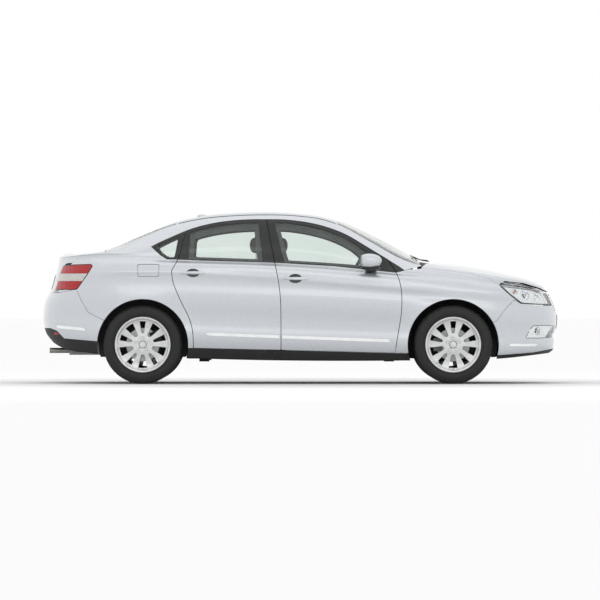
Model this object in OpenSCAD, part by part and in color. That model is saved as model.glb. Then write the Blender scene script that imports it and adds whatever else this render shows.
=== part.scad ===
// Four-door saloon car: hollow body shell with hinged doors, bonnet, boot lid and fuel flap,
// steered front wheels, and the seats, dashboard, engine block and running gear.
// Row frame: +X forward, +Y to the car's left, +Z up, origin on the ground under the middle.

/* [Body] */
// Distance between the front and rear wheel centres
wheelbase = 2785; // [2320:5:3342]
// From the front wheel centre to the nose
front_overhang = 956; // [860:2:1150]
// From the rear wheel centre to the tail
rear_overhang = 919; // [830:1:1105]
// Width over the doors, without the mirrors
body_width = 1850; // [1700:5:2220]
// Height of the roof above the ground
body_height = 1550; // [1400:5:1860]
// Gap round every door and lid
panel_gap = 8; // [6.5:0.5:10]
// Thickness of a door below its window
door_t = 70; // [58:1:84]
// Thickness of a window frame or pillar
frame_t = 38; // [32:1:46]
// Thickness of the roof, bonnet and boot lid
roof_t = 26; // [22:1:32]
// Thickness of the overlapping outer skin of a door
hem_t = 8; // [7:0.5:10]
// How far a door's body stands back from the edge of its skin, fore and aft
hem_w = 22; // [20:1:27]
// Thickness of the glass
glass_t = 5; // [4:0.5:6]

/* [Wheels] */
// Diameter of the tyre
tyre_d = 705; // [600:1:760]
// Width of the tyre
tyre_w = 225; // [190:5:255]
// Outer diameter of the rim's flange
rim_d = 502; // [430:1:520]
// From the car's centre plane to the middle of a tyre
half_track = 787; // [760:1:930]
// Gap between a tyre and its wheel arch
arch_gap = 57; // [50:1:75]
// Number of paired spokes in a rim
spoke_pairs = 5; // [4:1:6]
// Diameter of the brake disc
disc_d = 300; // [250:1:320]
// Diameter of the circle of wheel bolts
bolt_circle_d = 108; // [98:1:120]
// Diameter of a jacking hole under the sill
jack_hole_d = 30; // [24:1:40]
// Diameter of the holes for a tow bar's bolts in the boot floor
tow_hole_d = 13; // [10.5:0.5:15]

/* [Joints] */
// Length of the steering swivel pin
kingpin_h = 150; // [120:5:180]
// From the car's centre plane to the steering swivel axis
kingpin_y = 762; // [735:1:905]

/* [Hidden] */
$fn = 48;

// The body's lines below are drawn for these sizes, and mx, my and mz stretch them to the chosen ones.
drawn_front_axle = 1374;
drawn_rear_axle = -1411;
drawn_nose = 2330;
drawn_half_width = 925;
drawn_height = 1550;
rear_axle_x = rear_overhang - (wheelbase + front_overhang + rear_overhang) / 2;
front_axle_x = rear_axle_x + wheelbase;
function mx(x) = x > drawn_front_axle
    ? front_axle_x + (x - drawn_front_axle) * front_overhang / (drawn_nose - drawn_front_axle)
    : x < drawn_rear_axle
        ? rear_axle_x + (x - drawn_rear_axle) * rear_overhang / (drawn_nose + drawn_rear_axle)
        : rear_axle_x + (x - drawn_rear_axle) * wheelbase / (drawn_front_axle - drawn_rear_axle);
function my(y) = y * body_width / (2 * drawn_half_width);
function mz(z) = z * body_height / drawn_height;
function mxz(points) = [for (p = points) [mx(p[0]), mz(p[1])]];

// Smooth curve through [x, value] points: cubic pieces whose slopes come from both neighbours.
function secant(p, i) = (p[i + 1][1] - p[i][1]) / (p[i + 1][0] - p[i][0]);
function slope(p, i) = i == 0 ? secant(p, 0)
    : i == len(p) - 1 ? secant(p, i - 1)
    : let (h0 = p[i][0] - p[i - 1][0], h1 = p[i + 1][0] - p[i][0])
        (secant(p, i - 1) * h1 + secant(p, i) * h0) / (h0 + h1);
function blend(a, b, ma, mb, t) = (2 * t ^ 3 - 3 * t ^ 2 + 1) * a + (t ^ 3 - 2 * t ^ 2 + t) * ma
    + (3 * t ^ 2 - 2 * t ^ 3) * b + (t ^ 3 - t ^ 2) * mb;
function curve(p, x) = is_num(p) ? p
    : x <= p[0][0] ? p[0][1]
    : x >= p[len(p) - 1][0] ? p[len(p) - 1][1]
    : let (i = max([for (k = [0:len(p) - 2]) if (p[k][0] <= x) k]), h = p[i + 1][0] - p[i][0])
        blend(p[i][1], p[i + 1][1], slope(p, i) * h, slope(p, i + 1) * h, (x - p[i][0]) / h);
function ease(t) = let (c = min(max(t, 0), 1)) c * c * (3 - 2 * c);

// Side-view height lines that run the length of the body.
sill_line = [[-2240, 372], [-2150, 326], [-1825, 271], [-1000, 231], [966, 210], [1788, 226], [2262, 275]];
skirt_line = [[-2300, 450], [-2180, 418], [-1825, 370], [-996, 325], [967, 273], [1788, 259], [2292, 300]];
strip_line = [[-2322, 520], [-1925, 492], [-851, 450], [805, 392], [1870, 352], [2316, 355]];
hollow_line = [[-2330, 600], [-1925, 580], [-851, 532], [805, 476], [1870, 430], [2316, 440]];
bulge_line = [[-2312, 740], [-1500, 790], [-600, 790], [600, 765], [1400, 700], [2330, 600]];
under_crease = [[-2250, 860], [-1815, 945], [-1360, 958], [-450, 910], [905, 812], [1500, 760], [2312, 700]];
crease_line = [[-2222, 960], [-1815, 998], [-1360, 1006], [-359, 962], [905, 862], [1400, 835], [2282, 770]];
shoulder_line = [[-2196, 1060], [-1800, 1092], [-1360, 1080], [-359, 1046], [905, 955], [1900, 870], [2250, 825]];
belt_line = [[-2185, 1135], [-1761, 1163], [-1500, 1150], [-1195, 1121], [-882, 1109], [-350, 1094], [298, 1059],
    [863, 1002], [1087, 985], [1470, 948], [1806, 905], [2214, 862]];
door_top_line = [[-2185, 1138], [-1761, 1177], [-1500, 1196], [-1336, 1240], [-1178, 1309], [-1012, 1380],
    [-838, 1431], [-663, 1461], [-359, 1478], [-7, 1462], [219, 1415], [428, 1334], [568, 1250], [776, 1124],
    [942, 1032], [1100, 1032], [1470, 996], [1806, 944], [2214, 865]];
ditch_line = [[-2185, 1139], [-1900, 1174], [-1761, 1186], [-1650, 1224], [-1428, 1318], [-1142, 1428],
    [-900, 1482], [-600, 1512], [-359, 1520], [0, 1508], [186, 1482], [350, 1430], [623, 1283], [951, 1106],
    [1060, 1072], [1200, 1058], [1470, 1024], [1806, 971], [2050, 928], [2214, 868]];
centre_line = [[-2185, 1140], [-2150, 1164], [-1997, 1177], [-1800, 1200], [-1724, 1220], [-1506, 1312],
    [-1178, 1437], [-851, 1521], [-500, 1548], [-200, 1549], [186, 1513], [350, 1476], [623, 1359], [951, 1187],
    [1080, 1114], [1170, 1098], [1388, 1078], [1824, 1003], [2043, 947], [2152, 909], [2214, 871]];

// Half widths that change along the body, and the plan taper that all of them share.
shoulder_width = [[-2330, 850], [-1500, 872], [-900, 895], [900, 895], [1500, 885], [2330, 850]];
belt_width = [[-2330, 735], [-1761, 788], [-1195, 806], [-350, 820], [863, 826], [1087, 838], [1470, 855],
    [1806, 835], [2330, 790]];
ditch_width = [[-2330, 610], [-1761, 664], [-1428, 632], [-1142, 604], [-359, 592], [300, 588], [623, 652],
    [951, 722], [1096, 728], [1470, 705], [2330, 640]];
plan_taper = [[-2330, 0.965], [-1400, 0.99], [-500, 1], [600, 1], [1400, 0.99], [2330, 0.965]];
tumblehome = 0.455;

// Rows of the surface from the sill up: [half width, nose x, tail x, height line].
side_rows = [
    [856, 2262, -2240, sill_line],
    [896, 2292, -2300, skirt_line],
    [917, 2316, -2322, strip_line],
    [905, 2316, -2330, hollow_line],
    [925, 2330, -2312, bulge_line],
    [910, 2312, -2250, under_crease],
    [921, 2282, -2222, crease_line],
    [shoulder_width, 2250, -2196, shoulder_line],
    [belt_width, 2214, -2185, belt_line]];
// Which way each row faces, as [outwards, upwards], and which wall thickness it has.
row_facing = [[1, 0], [1, 0], [1, 0], [1, 0], [1, 0], [1, 0], [1, 0], [0.95, 0.2], [0.8, 0.5],
    [0.92, 0.35], [0.85, 0.5], [0.4, 0.9], [0.1, 1], [0, 1]];
row_wall = [0, 0, 0, 0, 0, 0, 0, 0, 0, 1, 1, 2, 2, 2];
corner_front = 800;
corner_rear = 700;
corner_power = 3.6;
corner_start = 0.03;
blend_from = 1400;
flare_depth = 12;
flare_reach = 130;

tyre_r = tyre_d / 2;
arch_r = tyre_r + arch_gap;

function corner(x) =
    let (s = min((drawn_nose - x) / corner_front, (x + drawn_nose) / corner_rear))
        s >= 1 ? 1 : pow(1 - pow(1 - s, 2), 1 / corner_power);
function corner_at(width) = 1 - sqrt(1 - pow(width, corner_power));
function row_x(x, nose, tail) = x + (nose - drawn_nose) * ease((x - blend_from) / (drawn_nose - blend_from))
    + (tail + drawn_nose) * ease((-x - blend_from) / (drawn_nose - blend_from));

// One cross-section's row points on the right-hand side; wall = [side, frame, roof, end] thickness
// that an inner surface stands in from the outer one, and drop lowers its open bottom.
function side_point(k, x, wall, drop) =
    let (row = side_rows[k], at = row_x(x, row[1] - wall[3], row[2] + wall[3]), t = wall[row_wall[k]])
    [at, (curve(row[0], at) * curve(plan_taper, at) - t * row_facing[k][0]) * corner(x),
        curve(row[3], at) - t * row_facing[k][1] - (k == 0 ? drop : 0)];
function top_point(k, at, y, z, bend, wall) =
    [at, max(y - wall[row_wall[k]] * row_facing[k][0] * bend, 0), z - wall[row_wall[k]] * row_facing[k][1]];
function section(x, wall, drop) =
    let (low = [for (k = [0:8]) side_point(k, x, wall, drop)], at = low[8][0], c = corner(x),
        belt_y = curve(belt_width, at) * curve(plan_taper, at) * c, belt_z = curve(belt_line, at),
        top_z = curve(door_top_line, at), top_y = belt_y - tumblehome * (top_z - belt_z) * c,
        ditch_y = curve(ditch_width, at) * curve(plan_taper, at) * c, ditch_z = curve(ditch_line, at),
        mid_z = curve(centre_line, at))
    concat(low, [
        top_point(9, at, (belt_y + top_y) / 2 + 8 * c, (belt_z + top_z) / 2, c, wall),
        top_point(10, at, top_y, top_z, c, wall),
        top_point(11, at, ditch_y, ditch_z, c, wall),
        top_point(12, at, 0.55 * ditch_y, ditch_z + 0.72 * (mid_z - ditch_z), c, wall),
        top_point(13, at, 0, mid_z, c, wall)]);

// Rows in between: a curve through the row points, with slopes weighted by their spacing.
function row_slope(p, i) = i == 0 ? p[1] - p[0]
    : i == len(p) - 1 ? [0, p[i][1] - p[i - 1][1], 0]
    : let (h0 = norm(p[i] - p[i - 1]) + 1, h1 = norm(p[i + 1] - p[i]) + 1)
        ((p[i] - p[i - 1]) / h0 * h1 + (p[i + 1] - p[i]) / h1 * h0) / (h0 + h1);
function row_tangent(p, i, h) = i == 0 || i == len(p) - 1 ? row_slope(p, i) : row_slope(p, i) * h;
function filled(p, n) = [for (i = [0:len(p) - 2], s = [0:n - 1])
        let (h = norm(p[i + 1] - p[i]) + 1)
            s == 0 ? p[i] : blend(p[i], p[i + 1], row_tangent(p, i, h), row_tangent(p, i + 1, h), s / n),
    p[len(p) - 1]];

function flare(x, z) =
    let (r = min(norm([x - front_axle_x, z - tyre_r]), norm([x - rear_axle_x, z - tyre_r])),
        w = min(max((r - arch_r) / flare_reach, 0), 1))
        flare_depth * pow(1 - w, 2);
function placed(p, side) =
    let (x = mx(p[0]), y = my(p[1]), z = mz(p[2]))
        [x, side * (y + (y > 0.7 * my(drawn_half_width) && z < mz(900) ? flare(x, z) : 0)), z];

end_widths = [0.03, 0.2, 0.35, 0.48, 0.58, 0.67, 0.75, 0.82, 0.88, 0.93, 0.97];
stations = concat(
    [for (g = end_widths) -drawn_nose + corner_rear * corner_at(g)],
    [for (x = [-1600:103:1490]) x],
    [for (k = [len(end_widths) - 1:-1:0]) drawn_nose - corner_front * corner_at(end_widths[k])]);

// The whole body as one closed form, stood in from the outer surface by the wall thicknesses.
module body_form(wall = [0, 0, 0, 0], drop = 0, fill = 2) {
    rings = [for (x = stations)
        let (half = filled(section(x, wall, drop), fill), m = len(half))
        concat([for (p = half) placed(p, -1)], [for (k = [m - 2:-1:0]) placed(half[k], 1)])];
    n = len(rings[0]);
    m = (n - 1) / 2;
    last = len(rings) - 1;
    walls = [for (i = [0:last - 1], k = [0:n - 1])
        let (a = i * n + k, b = i * n + (k + 1) % n) each [[a, b, b + n], [a, b + n, a + n]]];
    tail = [for (k = [0:m - 1]) each k == m - 1
        ? [[k, n - 1 - k, k + 1]]
        : [[k, n - 1 - k, k + 1], [k + 1, n - 1 - k, n - 2 - k]]];
    nose = [for (t = tail) [t[0] + last * n, t[2] + last * n, t[1] + last * n]];
    polyhedron(points = [for (r = rings) each r], faces = concat(walls, tail, nose), convexity = 10);
}

// A wall of the given thicknesses just under the outer surface, or under another wall.
module wall(side, frame, roof, end, under = [0, 0, 0, 0], fill = 2, inner_fill = 1) {
    difference() {
        body_form(under, under[0] > 0 ? 40 : 0, fill);
        body_form([side, frame, roof, end] + under, 160, inner_fill);
    }
}

// Keeps the size and gives the panel inside it as one mesh.
module as_panel() { resize([0, 0, 0]) children(); }

// A side-view outline pushed across the car: side 1 is the left half, -1 the right, 0 both.
module across(side = 0, near = 0) {
    reach = body_width;
    translate([0, side < 0 ? -near : reach, 0]) rotate([90, 0, 0])
        linear_extrude(side == 0 ? 2 * reach : reach - near) children();
}
// An outline seen from above, pushed up through the car.
module upright() { linear_extrude(2 * body_height) children(); }
// An outline seen from the front or back, pushed along the car from x = from.
module along(from, reach) { translate([from, 0, 0]) rotate([90, 0, 90]) linear_extrude(reach) children(); }
module grown(gap, points) { offset(delta = gap) polygon(points); }
module arches(r = arch_r, x_list = [front_axle_x, rear_axle_x]) {
    for (x = x_list)
        translate([x, 0, tyre_r]) rotate([90, 0, 0]) cylinder(r = r, h = 2 * body_width, center = true, $fn = 90);
}
module wells() {
    for (side = [-1, 1], axle = [[front_axle_x, front_well_y], [rear_axle_x, rear_well_y]])
        mirrored(side) translate([axle[0], axle[1], tyre_r]) rotate([-90, 0, 0])
            cylinder(r = arch_r + liner_t, h = body_width, $fn = 90);
}
module mirrored(side) { scale([1, side, 1]) children(); }

// Half widths seen from above at the drawn x: of the roof, and of the bonnet.
ditch_half = function(x) curve(ditch_width, x) * curve(plan_taper, x);
bonnet_half = function(x) curve(belt_width, x) * curve(plan_taper, x)
    - tumblehome * (curve(door_top_line, x) - curve(belt_line, x)) - 4;
function strip(x0, x1, n, half) = concat(
    [for (i = [0:n]) let (x = x0 + (x1 - x0) * i / n) [mx(x), my(half(x))]],
    [for (i = [n:-1:0]) let (x = x0 + (x1 - x0) * i / n) [mx(x), -my(half(x))]]);
// The body's outer half width at a drawn place on its side.
function surface_y(x, z) = let (p = filled(section(x, [0, 0, 0, 0], 0), 2),
    k = [for (i = [0:len(p) - 2]) if (p[i][2] <= z && p[i + 1][2] >= z) i][0])
    my(p[k][1] + (p[k + 1][1] - p[k][1]) * (z - p[k][2]) / (p[k + 1][2] - p[k][2]));

// Door shut lines in side view.
b_line = [[-302, 1475], [-228, 1093], [-194, 936], [-172, 753], [-170, 476], [-170, 304]];
front_line = [[786, 1118], [868, 1000], [907, 876], [915, 749], [908, 612], [878, 443], [852, 278]];
rear_line = [[-1028, 1373], [-1090, 1123], [-1152, 1015], [-1143, 919], [-1106, 825], [-1052, 708], [-990, 590],
    [-960, 476], [-955, 322]];
function top_edge(x0, x1, n) = [for (i = [1:n - 1]) let (x = x0 + (x1 - x0) * i / n) [x, curve(door_top_line, x)]];
front_door_outline = mxz(concat([for (k = [len(b_line) - 1:-1:0]) b_line[k]], top_edge(-302, 786, 12), front_line));
rear_door_outline = mxz(concat([for (k = [len(rear_line) - 1:-1:0]) rear_line[k]], top_edge(-1028, -302, 8), b_line));

// Window openings in the doors and behind them.
front_window = mxz([[-141, 1092], [-233, 1450], [-120, 1449], [60, 1425], [212, 1387], [330, 1345], [430, 1298],
    [548, 1226], [640, 1116], [700, 1030], [298, 1066]]);
rear_door_window = mxz([[-1004, 1120], [-988, 1360], [-920, 1382], [-838, 1402], [-740, 1422], [-640, 1436],
    [-500, 1447], [-372, 1450], [-333, 1100], [-600, 1107]]);
quarter_window = mxz([[-1290, 1228], [-1210, 1268], [-1096, 1320], [-1130, 1140], [-1200, 1140], [-1240, 1170]]);

// Outlines of the fixed panels and lids.
side_area = mxz([[-2400, 1650], [-2400, 326], [-955, 324], [840, 277], [840, 1003], [868, 1003], [1087, 1058],
    [1087, 1650]]);
wing_area = mxz([[700, 279], [2400, 279], [2400, 700], [1990, 800], [1835, 930], [1835, 1300], [1089, 1300],
    [1089, 1055], [868, 1000], [700, 1000]]);
headlamp_outline = mxz([[1787, 888], [1829, 916], [2010, 896], [2169, 848], [2400, 760], [2400, 735], [2245, 706],
    [2112, 710], [1988, 720], [1880, 800]]);
fog_outline = mxz([[2026, 412], [2090, 520], [2262, 526], [2400, 500], [2400, 440], [2214, 410]]);
tail_lamp_outline = mxz([[-2400, 1048], [-2166, 1050], [-2085, 1068], [-1874, 1074], [-1862, 1058], [-1906, 985],
    [-2004, 847], [-2093, 844], [-2400, 852]]);
flap_outline = mxz([[-1452, 964], [-1268, 964], [-1264, 1072], [-1456, 1072]]);
front_bumper_area = mxz([[2500, 724], [2245, 702], [2112, 706], [1988, 716], [1925, 752], [1860, 690], [1760, 560],
    [1640, 520], [1640, 100], [2500, 100]]);
rear_bumper_area = mxz([[-2500, 800], [-2200, 812], [-2060, 838], [-2004, 840], [-1960, 740], [-1900, 640],
    [-1740, 560], [-1660, 520], [-1660, 100], [-2500, 100]]);
sill_area = mxz([[-1100, 100], [-1100, 322], [-955, 321], [852, 274], [1000, 271], [1000, 100]]);
lid_face = [[-512, 808], [512, 808], [512, 1052], [560, 1084], [900, 1084], [900, 1500], [-900, 1500],
    [-900, 1084], [-560, 1084], [-512, 1052]];
screen_base_x = 1078;
rear_screen_base_x = -1752;
lamp_inner_y = 480;
tail_lamp_inner_y = 518;
bonnet_corner_x = 1086;
bonnet_rear_bow = 130;
bonnet_plan = concat(
    [for (i = [0:12]) let (x = 1110 + i * 60) [mx(x), my(bonnet_half(x))]],
    [[mx(1832), body_width], [mx(2500), body_width], [mx(2500), -body_width], [mx(1832), -body_width]],
    [for (i = [12:-1:0]) let (x = 1110 + i * 60) [mx(x), -my(bonnet_half(x))]],
    [for (i = [-8:8]) let (w = i / 8) [mx(bonnet_corner_x + bonnet_rear_bow * (1 - w * w)),
        my(w * bonnet_half(bonnet_corner_x))]]);
bonnet_side = mxz([[1000, 850], [1832, 850], [1832, 921], [2010, 903], [2169, 857], [2245, 822], [2500, 818],
    [2500, 1600], [1000, 1600]]);
seam = 3;
roof_seam = 1;
front_well_y = half_track - tyre_w / 2 - 186;
rear_well_y = half_track - tyre_w / 2 - 25;

// ---- body shell ----
rocker_in = my(735);
rocker_t = 62;
rocker_z0 = mz(246);
rocker_z1 = mz(326);
floor_z = mz(226);
floor_t = 22;
module rocker(side) {
    mirrored(side) translate([mx(-1010), rocker_in, rocker_z0])
        cube([mx(960) - mx(-1010), rocker_t, rocker_z1 - rocker_z0]);
}
module body_side(side) {
    color("gainsboro") as_panel() difference() {
        union() {
            difference() {
                intersection() {
                    wall(door_t, frame_t, roof_t, door_t);
                    across(side, my(500)) polygon(side_area);
                }
                across(side) grown(panel_gap / 2, front_door_outline);
                across(side) grown(panel_gap / 2, rear_door_outline);
                across(side) grown(seam, rear_bumper_area);
                across(side) grown(seam, tail_lamp_outline);
                across(side) grown(seam, quarter_window);
                upright() offset(delta = roof_seam) polygon(strip(-1118, 345, 10, ditch_half));
                upright() polygon(strip(345, 1200, 8, ditch_half));
                upright() offset(delta = seam) polygon(strip(-2500, -1118, 12, ditch_half));
            }
            rocker(side);
            intersection() {
                wall(frame_t, frame_t, frame_t, frame_t, [door_t + 16, frame_t + 6, roof_t + 6, door_t], 1);
                across(side, my(540)) polygon(mxz([[-130, 300], [-270, 1490], [-352, 1490], [-290, 300]]));
            }
            intersection() {
                wall(frame_t + 60, frame_t + 60, roof_t + 60, frame_t + 60, fill = 1);
                across(side, my(570)) polygon(mxz([[-352, 1479], [-270, 1479], [-270, 1484], [-352, 1484]]));
            }
        }
        arches();
        if (side < 0) difference() {
            across(side) grown(panel_gap / 2, flap_outline);
            body_form([recess_t, recess_t, recess_t, recess_t]);
        }
    }
}
recess_t = 24;
module roof() {
    color("gainsboro") as_panel() intersection() {
        wall(door_t, frame_t, roof_t, door_t);
        upright() polygon(strip(-1118, 345, 10, ditch_half));
    }
}
module front_wing(side) {
    as_panel() difference() {
        intersection() {
            wall(door_t, frame_t, roof_t, door_t);
            across(side, my(600)) polygon(wing_area);
        }
        across(side) grown(panel_gap / 2, front_door_outline);
        across(side) grown(seam, front_bumper_area);
        across(side) grown(seam, headlamp_outline);
        upright() offset(delta = panel_gap / 2) polygon(strip(900, 1900, 12, bonnet_half));
        arches();
    }
}
module front_wings() { color("gainsboro") for (side = [-1, 1]) front_wing(side); }
module front_bumper() {
    color("gainsboro") as_panel() difference() {
        intersection() {
            wall(bumper_t, bumper_t, bumper_t, bumper_t);
            across() polygon(front_bumper_area);
        }
        across(-1, my(400)) grown(seam, fog_outline);
        across(1, my(400)) grown(seam, fog_outline);
        along(mx(1900), 900) offset(delta = seam) polygon([for (p = grille_face) [my(p[0]), mz(p[1])]]);
        along(mx(1900), 900) polygon([for (p = intake_face) [my(p[0]), mz(p[1])]]);
        arches();
    }
}
bumper_t = 44;
grille_face = [[-452, 815], [-430, 700], [-370, 628], [370, 628], [430, 700], [452, 815]];
intake_face = [[-430, 420], [-380, 330], [380, 330], [430, 420], [380, 470], [-380, 470]];
module rear_bumper() {
    color("gainsboro") as_panel() difference() {
        intersection() {
            wall(bumper_t, bumper_t, bumper_t, bumper_t);
            across() polygon(rear_bumper_area);
        }
        arches();
    }
}
module grille() {
    bars = 4;
    color("dimgray") as_panel() difference() {
        intersection() {
            wall(grille_t, grille_t, grille_t, grille_t, [6, 6, 6, 6]);
            along(mx(1900), 900) polygon([for (p = grille_face) [my(p[0]), mz(p[1])]]);
            across() polygon(mxz([[1800, 500], [2500, 500], [2500, 814], [2245, 818], [1800, 818]]));
        }
        for (k = [0:bars]) let (z = mz(646 + 34 * k))
            translate([mx(1900), -my(340 + 14 * k), z]) cube([900, 2 * my(340 + 14 * k), 20]);
    }
}
grille_t = 26;
module front_lamps() {
    color("aliceblue") as_panel() for (side = [-1, 1]) {
        intersection() {
            wall(lamp_t, lamp_t, lamp_t, lamp_t, fill = 2);
            across(side, my(lamp_inner_y)) polygon(headlamp_outline);
        }
        intersection() {
            wall(fog_t, fog_t, fog_t, fog_t, [12, 12, 12, 12]);
            across(side, my(400)) polygon(fog_outline);
        }
    }
}
lamp_t = 66;
fog_t = 30;
module tail_lamps() {
    color("firebrick") as_panel() for (side = [-1, 1]) intersection() {
        wall(lamp_t, lamp_t, lamp_t, lamp_t);
        across(side, my(tail_lamp_inner_y)) polygon(tail_lamp_outline);
    }
}
module sill_covers() {
    color("#1c1c1c") as_panel() for (side = [-1, 1]) difference() {
        intersection() {
            wall(sill_t, sill_t, sill_t, sill_t);
            across(side, my(500)) polygon(sill_area);
        }
        rocker(side);
        arches();
    }
}
sill_t = 64;
module arch_liners() {
    liner_out = my(838);
    color("#202020") for (side = [-1, 1], axle = [[front_axle_x, front_well_y], [rear_axle_x, rear_well_y]])
        translate([axle[0], side * (axle[1] + liner_out) / 2, tyre_r]) rotate([90, 0, 0])
            linear_extrude(liner_out - axle[1], center = true) difference() {
                circle(r = arch_r - liner_gap);
                circle(r = arch_r - liner_gap - liner_t);
                translate([-2 * arch_r, -3 * arch_r]) square([4 * arch_r, 3 * arch_r + 20]);
            }
}
liner_t = 6;
liner_gap = 1;

// ---- glass ----
pane_fit = 1;
module pane() {
    as_panel() intersection() {
        wall(glass_t, glass_t, glass_t, glass_t, [3, 3, 3, 3], 1);
        children();
    }
}
module fixed_windows() {
    color([0.3, 0.36, 0.35, 0.6]) {
        pane() upright() offset(delta = -pane_fit) polygon(strip(345, screen_base_x, 8, ditch_half));
        pane() upright() offset(delta = -pane_fit) polygon(strip(rear_screen_base_x, -1118, 8, ditch_half));
        for (side = [-1, 1]) pane() across(side) grown(seam - pane_fit, quarter_window);
    }
}
module door_glass(points, side) {
    color([0.3, 0.36, 0.35, 0.6]) pane() across(side) grown(-pane_fit, points);
}

// ---- doors and lids ----
module door(outline, window, side) {
    color("gainsboro") as_panel() difference() {
        union() {
            intersection() {
                wall(hem_t, hem_t, hem_t, hem_t);
                across(side) grown(-panel_gap / 2, outline);
            }
            intersection() {
                wall(door_t, frame_t, roof_t, door_t);
                across(side) grown(-panel_gap / 2, [for (p = outline) p + [hem_w, 0]]);
                across(side) grown(-panel_gap / 2, [for (p = outline) p - [hem_w, 0]]);
            }
        }
        across(side) polygon(window);
    }
}
module handle(x, z, side) {
    root = 10;
    grip_t = 12;
    foot_l = 24;
    color("silver") as_panel() difference() {
        mirrored(side) translate([mx(x), surface_y(x, z), mz(z)]) difference() {
            translate([-handle_l / 2, -root, -handle_h / 2]) cube([handle_l, handle_out + root, handle_h]);
            translate([-handle_l / 2 + foot_l, -2 * root, -handle_h])
                cube([handle_l - 2 * foot_l, 2 * root + handle_out - grip_t, 2 * handle_h]);
        }
        outside_skin();
    }
}
// What is fastened to the doors starts a hair outside their skin.
module outside_skin() { body_form([-skin_fit, -skin_fit, -skin_fit, -skin_fit]); }
skin_fit = 0.4;
handle_l = 210;
handle_h = 30;
handle_out = 30;
module door_mirror(side) {
    foot = surface_y(640, 1010);
    color("silver") as_panel() difference() {
        mirrored(side) union() {
            hull() {
                for (p = [[545, 60, 1040], [700, 75, 1050], [560, 60, 1140], [690, 60, 1150]])
                    translate([mx(p[0]), foot + p[1], mz(p[2])]) sphere(r = 25, $fn = 16);
                for (p = [[560, 165, 1040], [560, 160, 1130], [640, 150, 1135], [650, 150, 1045]])
                    translate([mx(p[0]), foot + p[1], mz(p[2])]) sphere(r = 20, $fn = 16);
            }
            translate([mx(600), foot - 20, mz(1004)]) cube([90, 90, 40]);
        }
        outside_skin();
    }
}
module bonnet() {
    color("gainsboro") as_panel() difference() {
        intersection() {
            wall(door_t, frame_t, roof_t, lid_t);
            upright() offset(delta = -panel_gap / 2) polygon(bonnet_plan);
            across() grown(-panel_gap / 2, bonnet_side);
        }
        across() grown(panel_gap, headlamp_outline);
    }
}
lid_t = 40;
module boot_lid() {
    lid_front_x = rear_screen_base_x - panel_gap / 2;
    color("gainsboro") as_panel() difference() {
        intersection() {
            wall(lid_t, frame_t, roof_t, lid_t);
            upright() offset(delta = -panel_gap / 2) polygon(strip(-2500, lid_front_x, 12, ditch_half));
            along(-4000, 6000) offset(delta = -panel_gap / 2) polygon([for (p = lid_face) [my(p[0]), mz(p[1])]]);
        }
        across() grown(panel_gap, rear_bumper_area);
        for (side = [-1, 1]) across(side, my(tail_lamp_inner_y - seam)) grown(panel_gap, tail_lamp_outline);
    }
}
module fuel_flap() {
    color("gainsboro") as_panel() intersection() {
        wall(hem_t, hem_t, hem_t, hem_t);
        across(-1) grown(-panel_gap / 2, flap_outline);
    }
}
module cowl_panel() {
    color("#1c1c1c") as_panel() difference() {
        intersection() {
            wall(cowl_t, cowl_t, cowl_t, cowl_t, [14, 14, 14, 14]);
            upright() polygon(strip(screen_base_x + 1, 1300, 6, ditch_half));
        }
        upright() offset(delta = panel_gap) polygon(bonnet_plan);
    }
}
cowl_t = 20;

// ---- inside ----
cabin_half = my(700);
module floor_pan() {
    firewall_x = mx(1015);
    firewall_t = 35;
    front_x = firewall_x + firewall_t;
    heel_x = mx(-1000);
    board_t = 20;
    tail_x = mx(-2160);
    back_half = my(545);
    floor_top = floor_z + floor_t;
    shelf_z = mz(1080);
    color("dimgray") difference() {
        union() {
            translate([heel_x, -rocker_in, floor_z]) cube([front_x - heel_x, 2 * rocker_in, floor_t]);
            translate([heel_x, -tunnel_w / 2, floor_z]) cube([front_x - heel_x, tunnel_w, tunnel_h]);
            translate([firewall_x, -cabin_half, floor_top]) cube([firewall_t, 2 * cabin_half, mz(1020) - floor_top]);
            translate([heel_x - board_t, -back_half, floor_z]) cube([board_t, 2 * back_half, rear_floor_z - floor_z]);
            translate([tail_x, -back_half, rear_floor_z]) cube([heel_x - tail_x, 2 * back_half, floor_t]);
            translate([tail_x, -back_half, rear_floor_z]) cube([24, 2 * back_half, floor_t + mz(300)]);
            translate([mx(-1324), -back_half, rear_floor_z]) cube([24, 2 * back_half, shelf_z - rear_floor_z]);
            translate([mx(-1700), -back_half, shelf_z]) cube([mx(-1300) - mx(-1700), 2 * back_half, board_t]);
            for (x = jack_x, side = [-1, 1]) translate([x - 45, side * jack_y - 30, floor_z - jack_block_h])
                cube([90, 60, jack_block_h]);
        }
        translate([heel_x - board_t - 1, -tunnel_w / 2 + board_t, floor_z - 1])
            cube([front_x - heel_x + board_t + 2, tunnel_w - 2 * board_t, tunnel_h - board_t + 1]);
        for (x = jack_x, side = [-1, 1]) translate([x, side * jack_y, floor_z - jack_block_h - 1])
            cylinder(d = jack_hole_d, h = jack_block_h + floor_t + 2);
        for (x = [-tow_pitch_x / 2, tow_pitch_x / 2], y = [-tow_pitch_y / 2, tow_pitch_y / 2])
            translate([tow_x + x, y, rear_floor_z - 1]) cylinder(d = tow_hole_d, h = floor_t + 2);
        wells();
    }
}
tunnel_w = 200;
tunnel_h = mz(120);
rear_floor_z = mz(450);
jack_x = [mx(-860), mx(800)];
jack_y = my(690);
jack_block_h = 26;
tow_x = mx(-2080);
tow_pitch_x = 90;
tow_pitch_y = 820;
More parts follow.
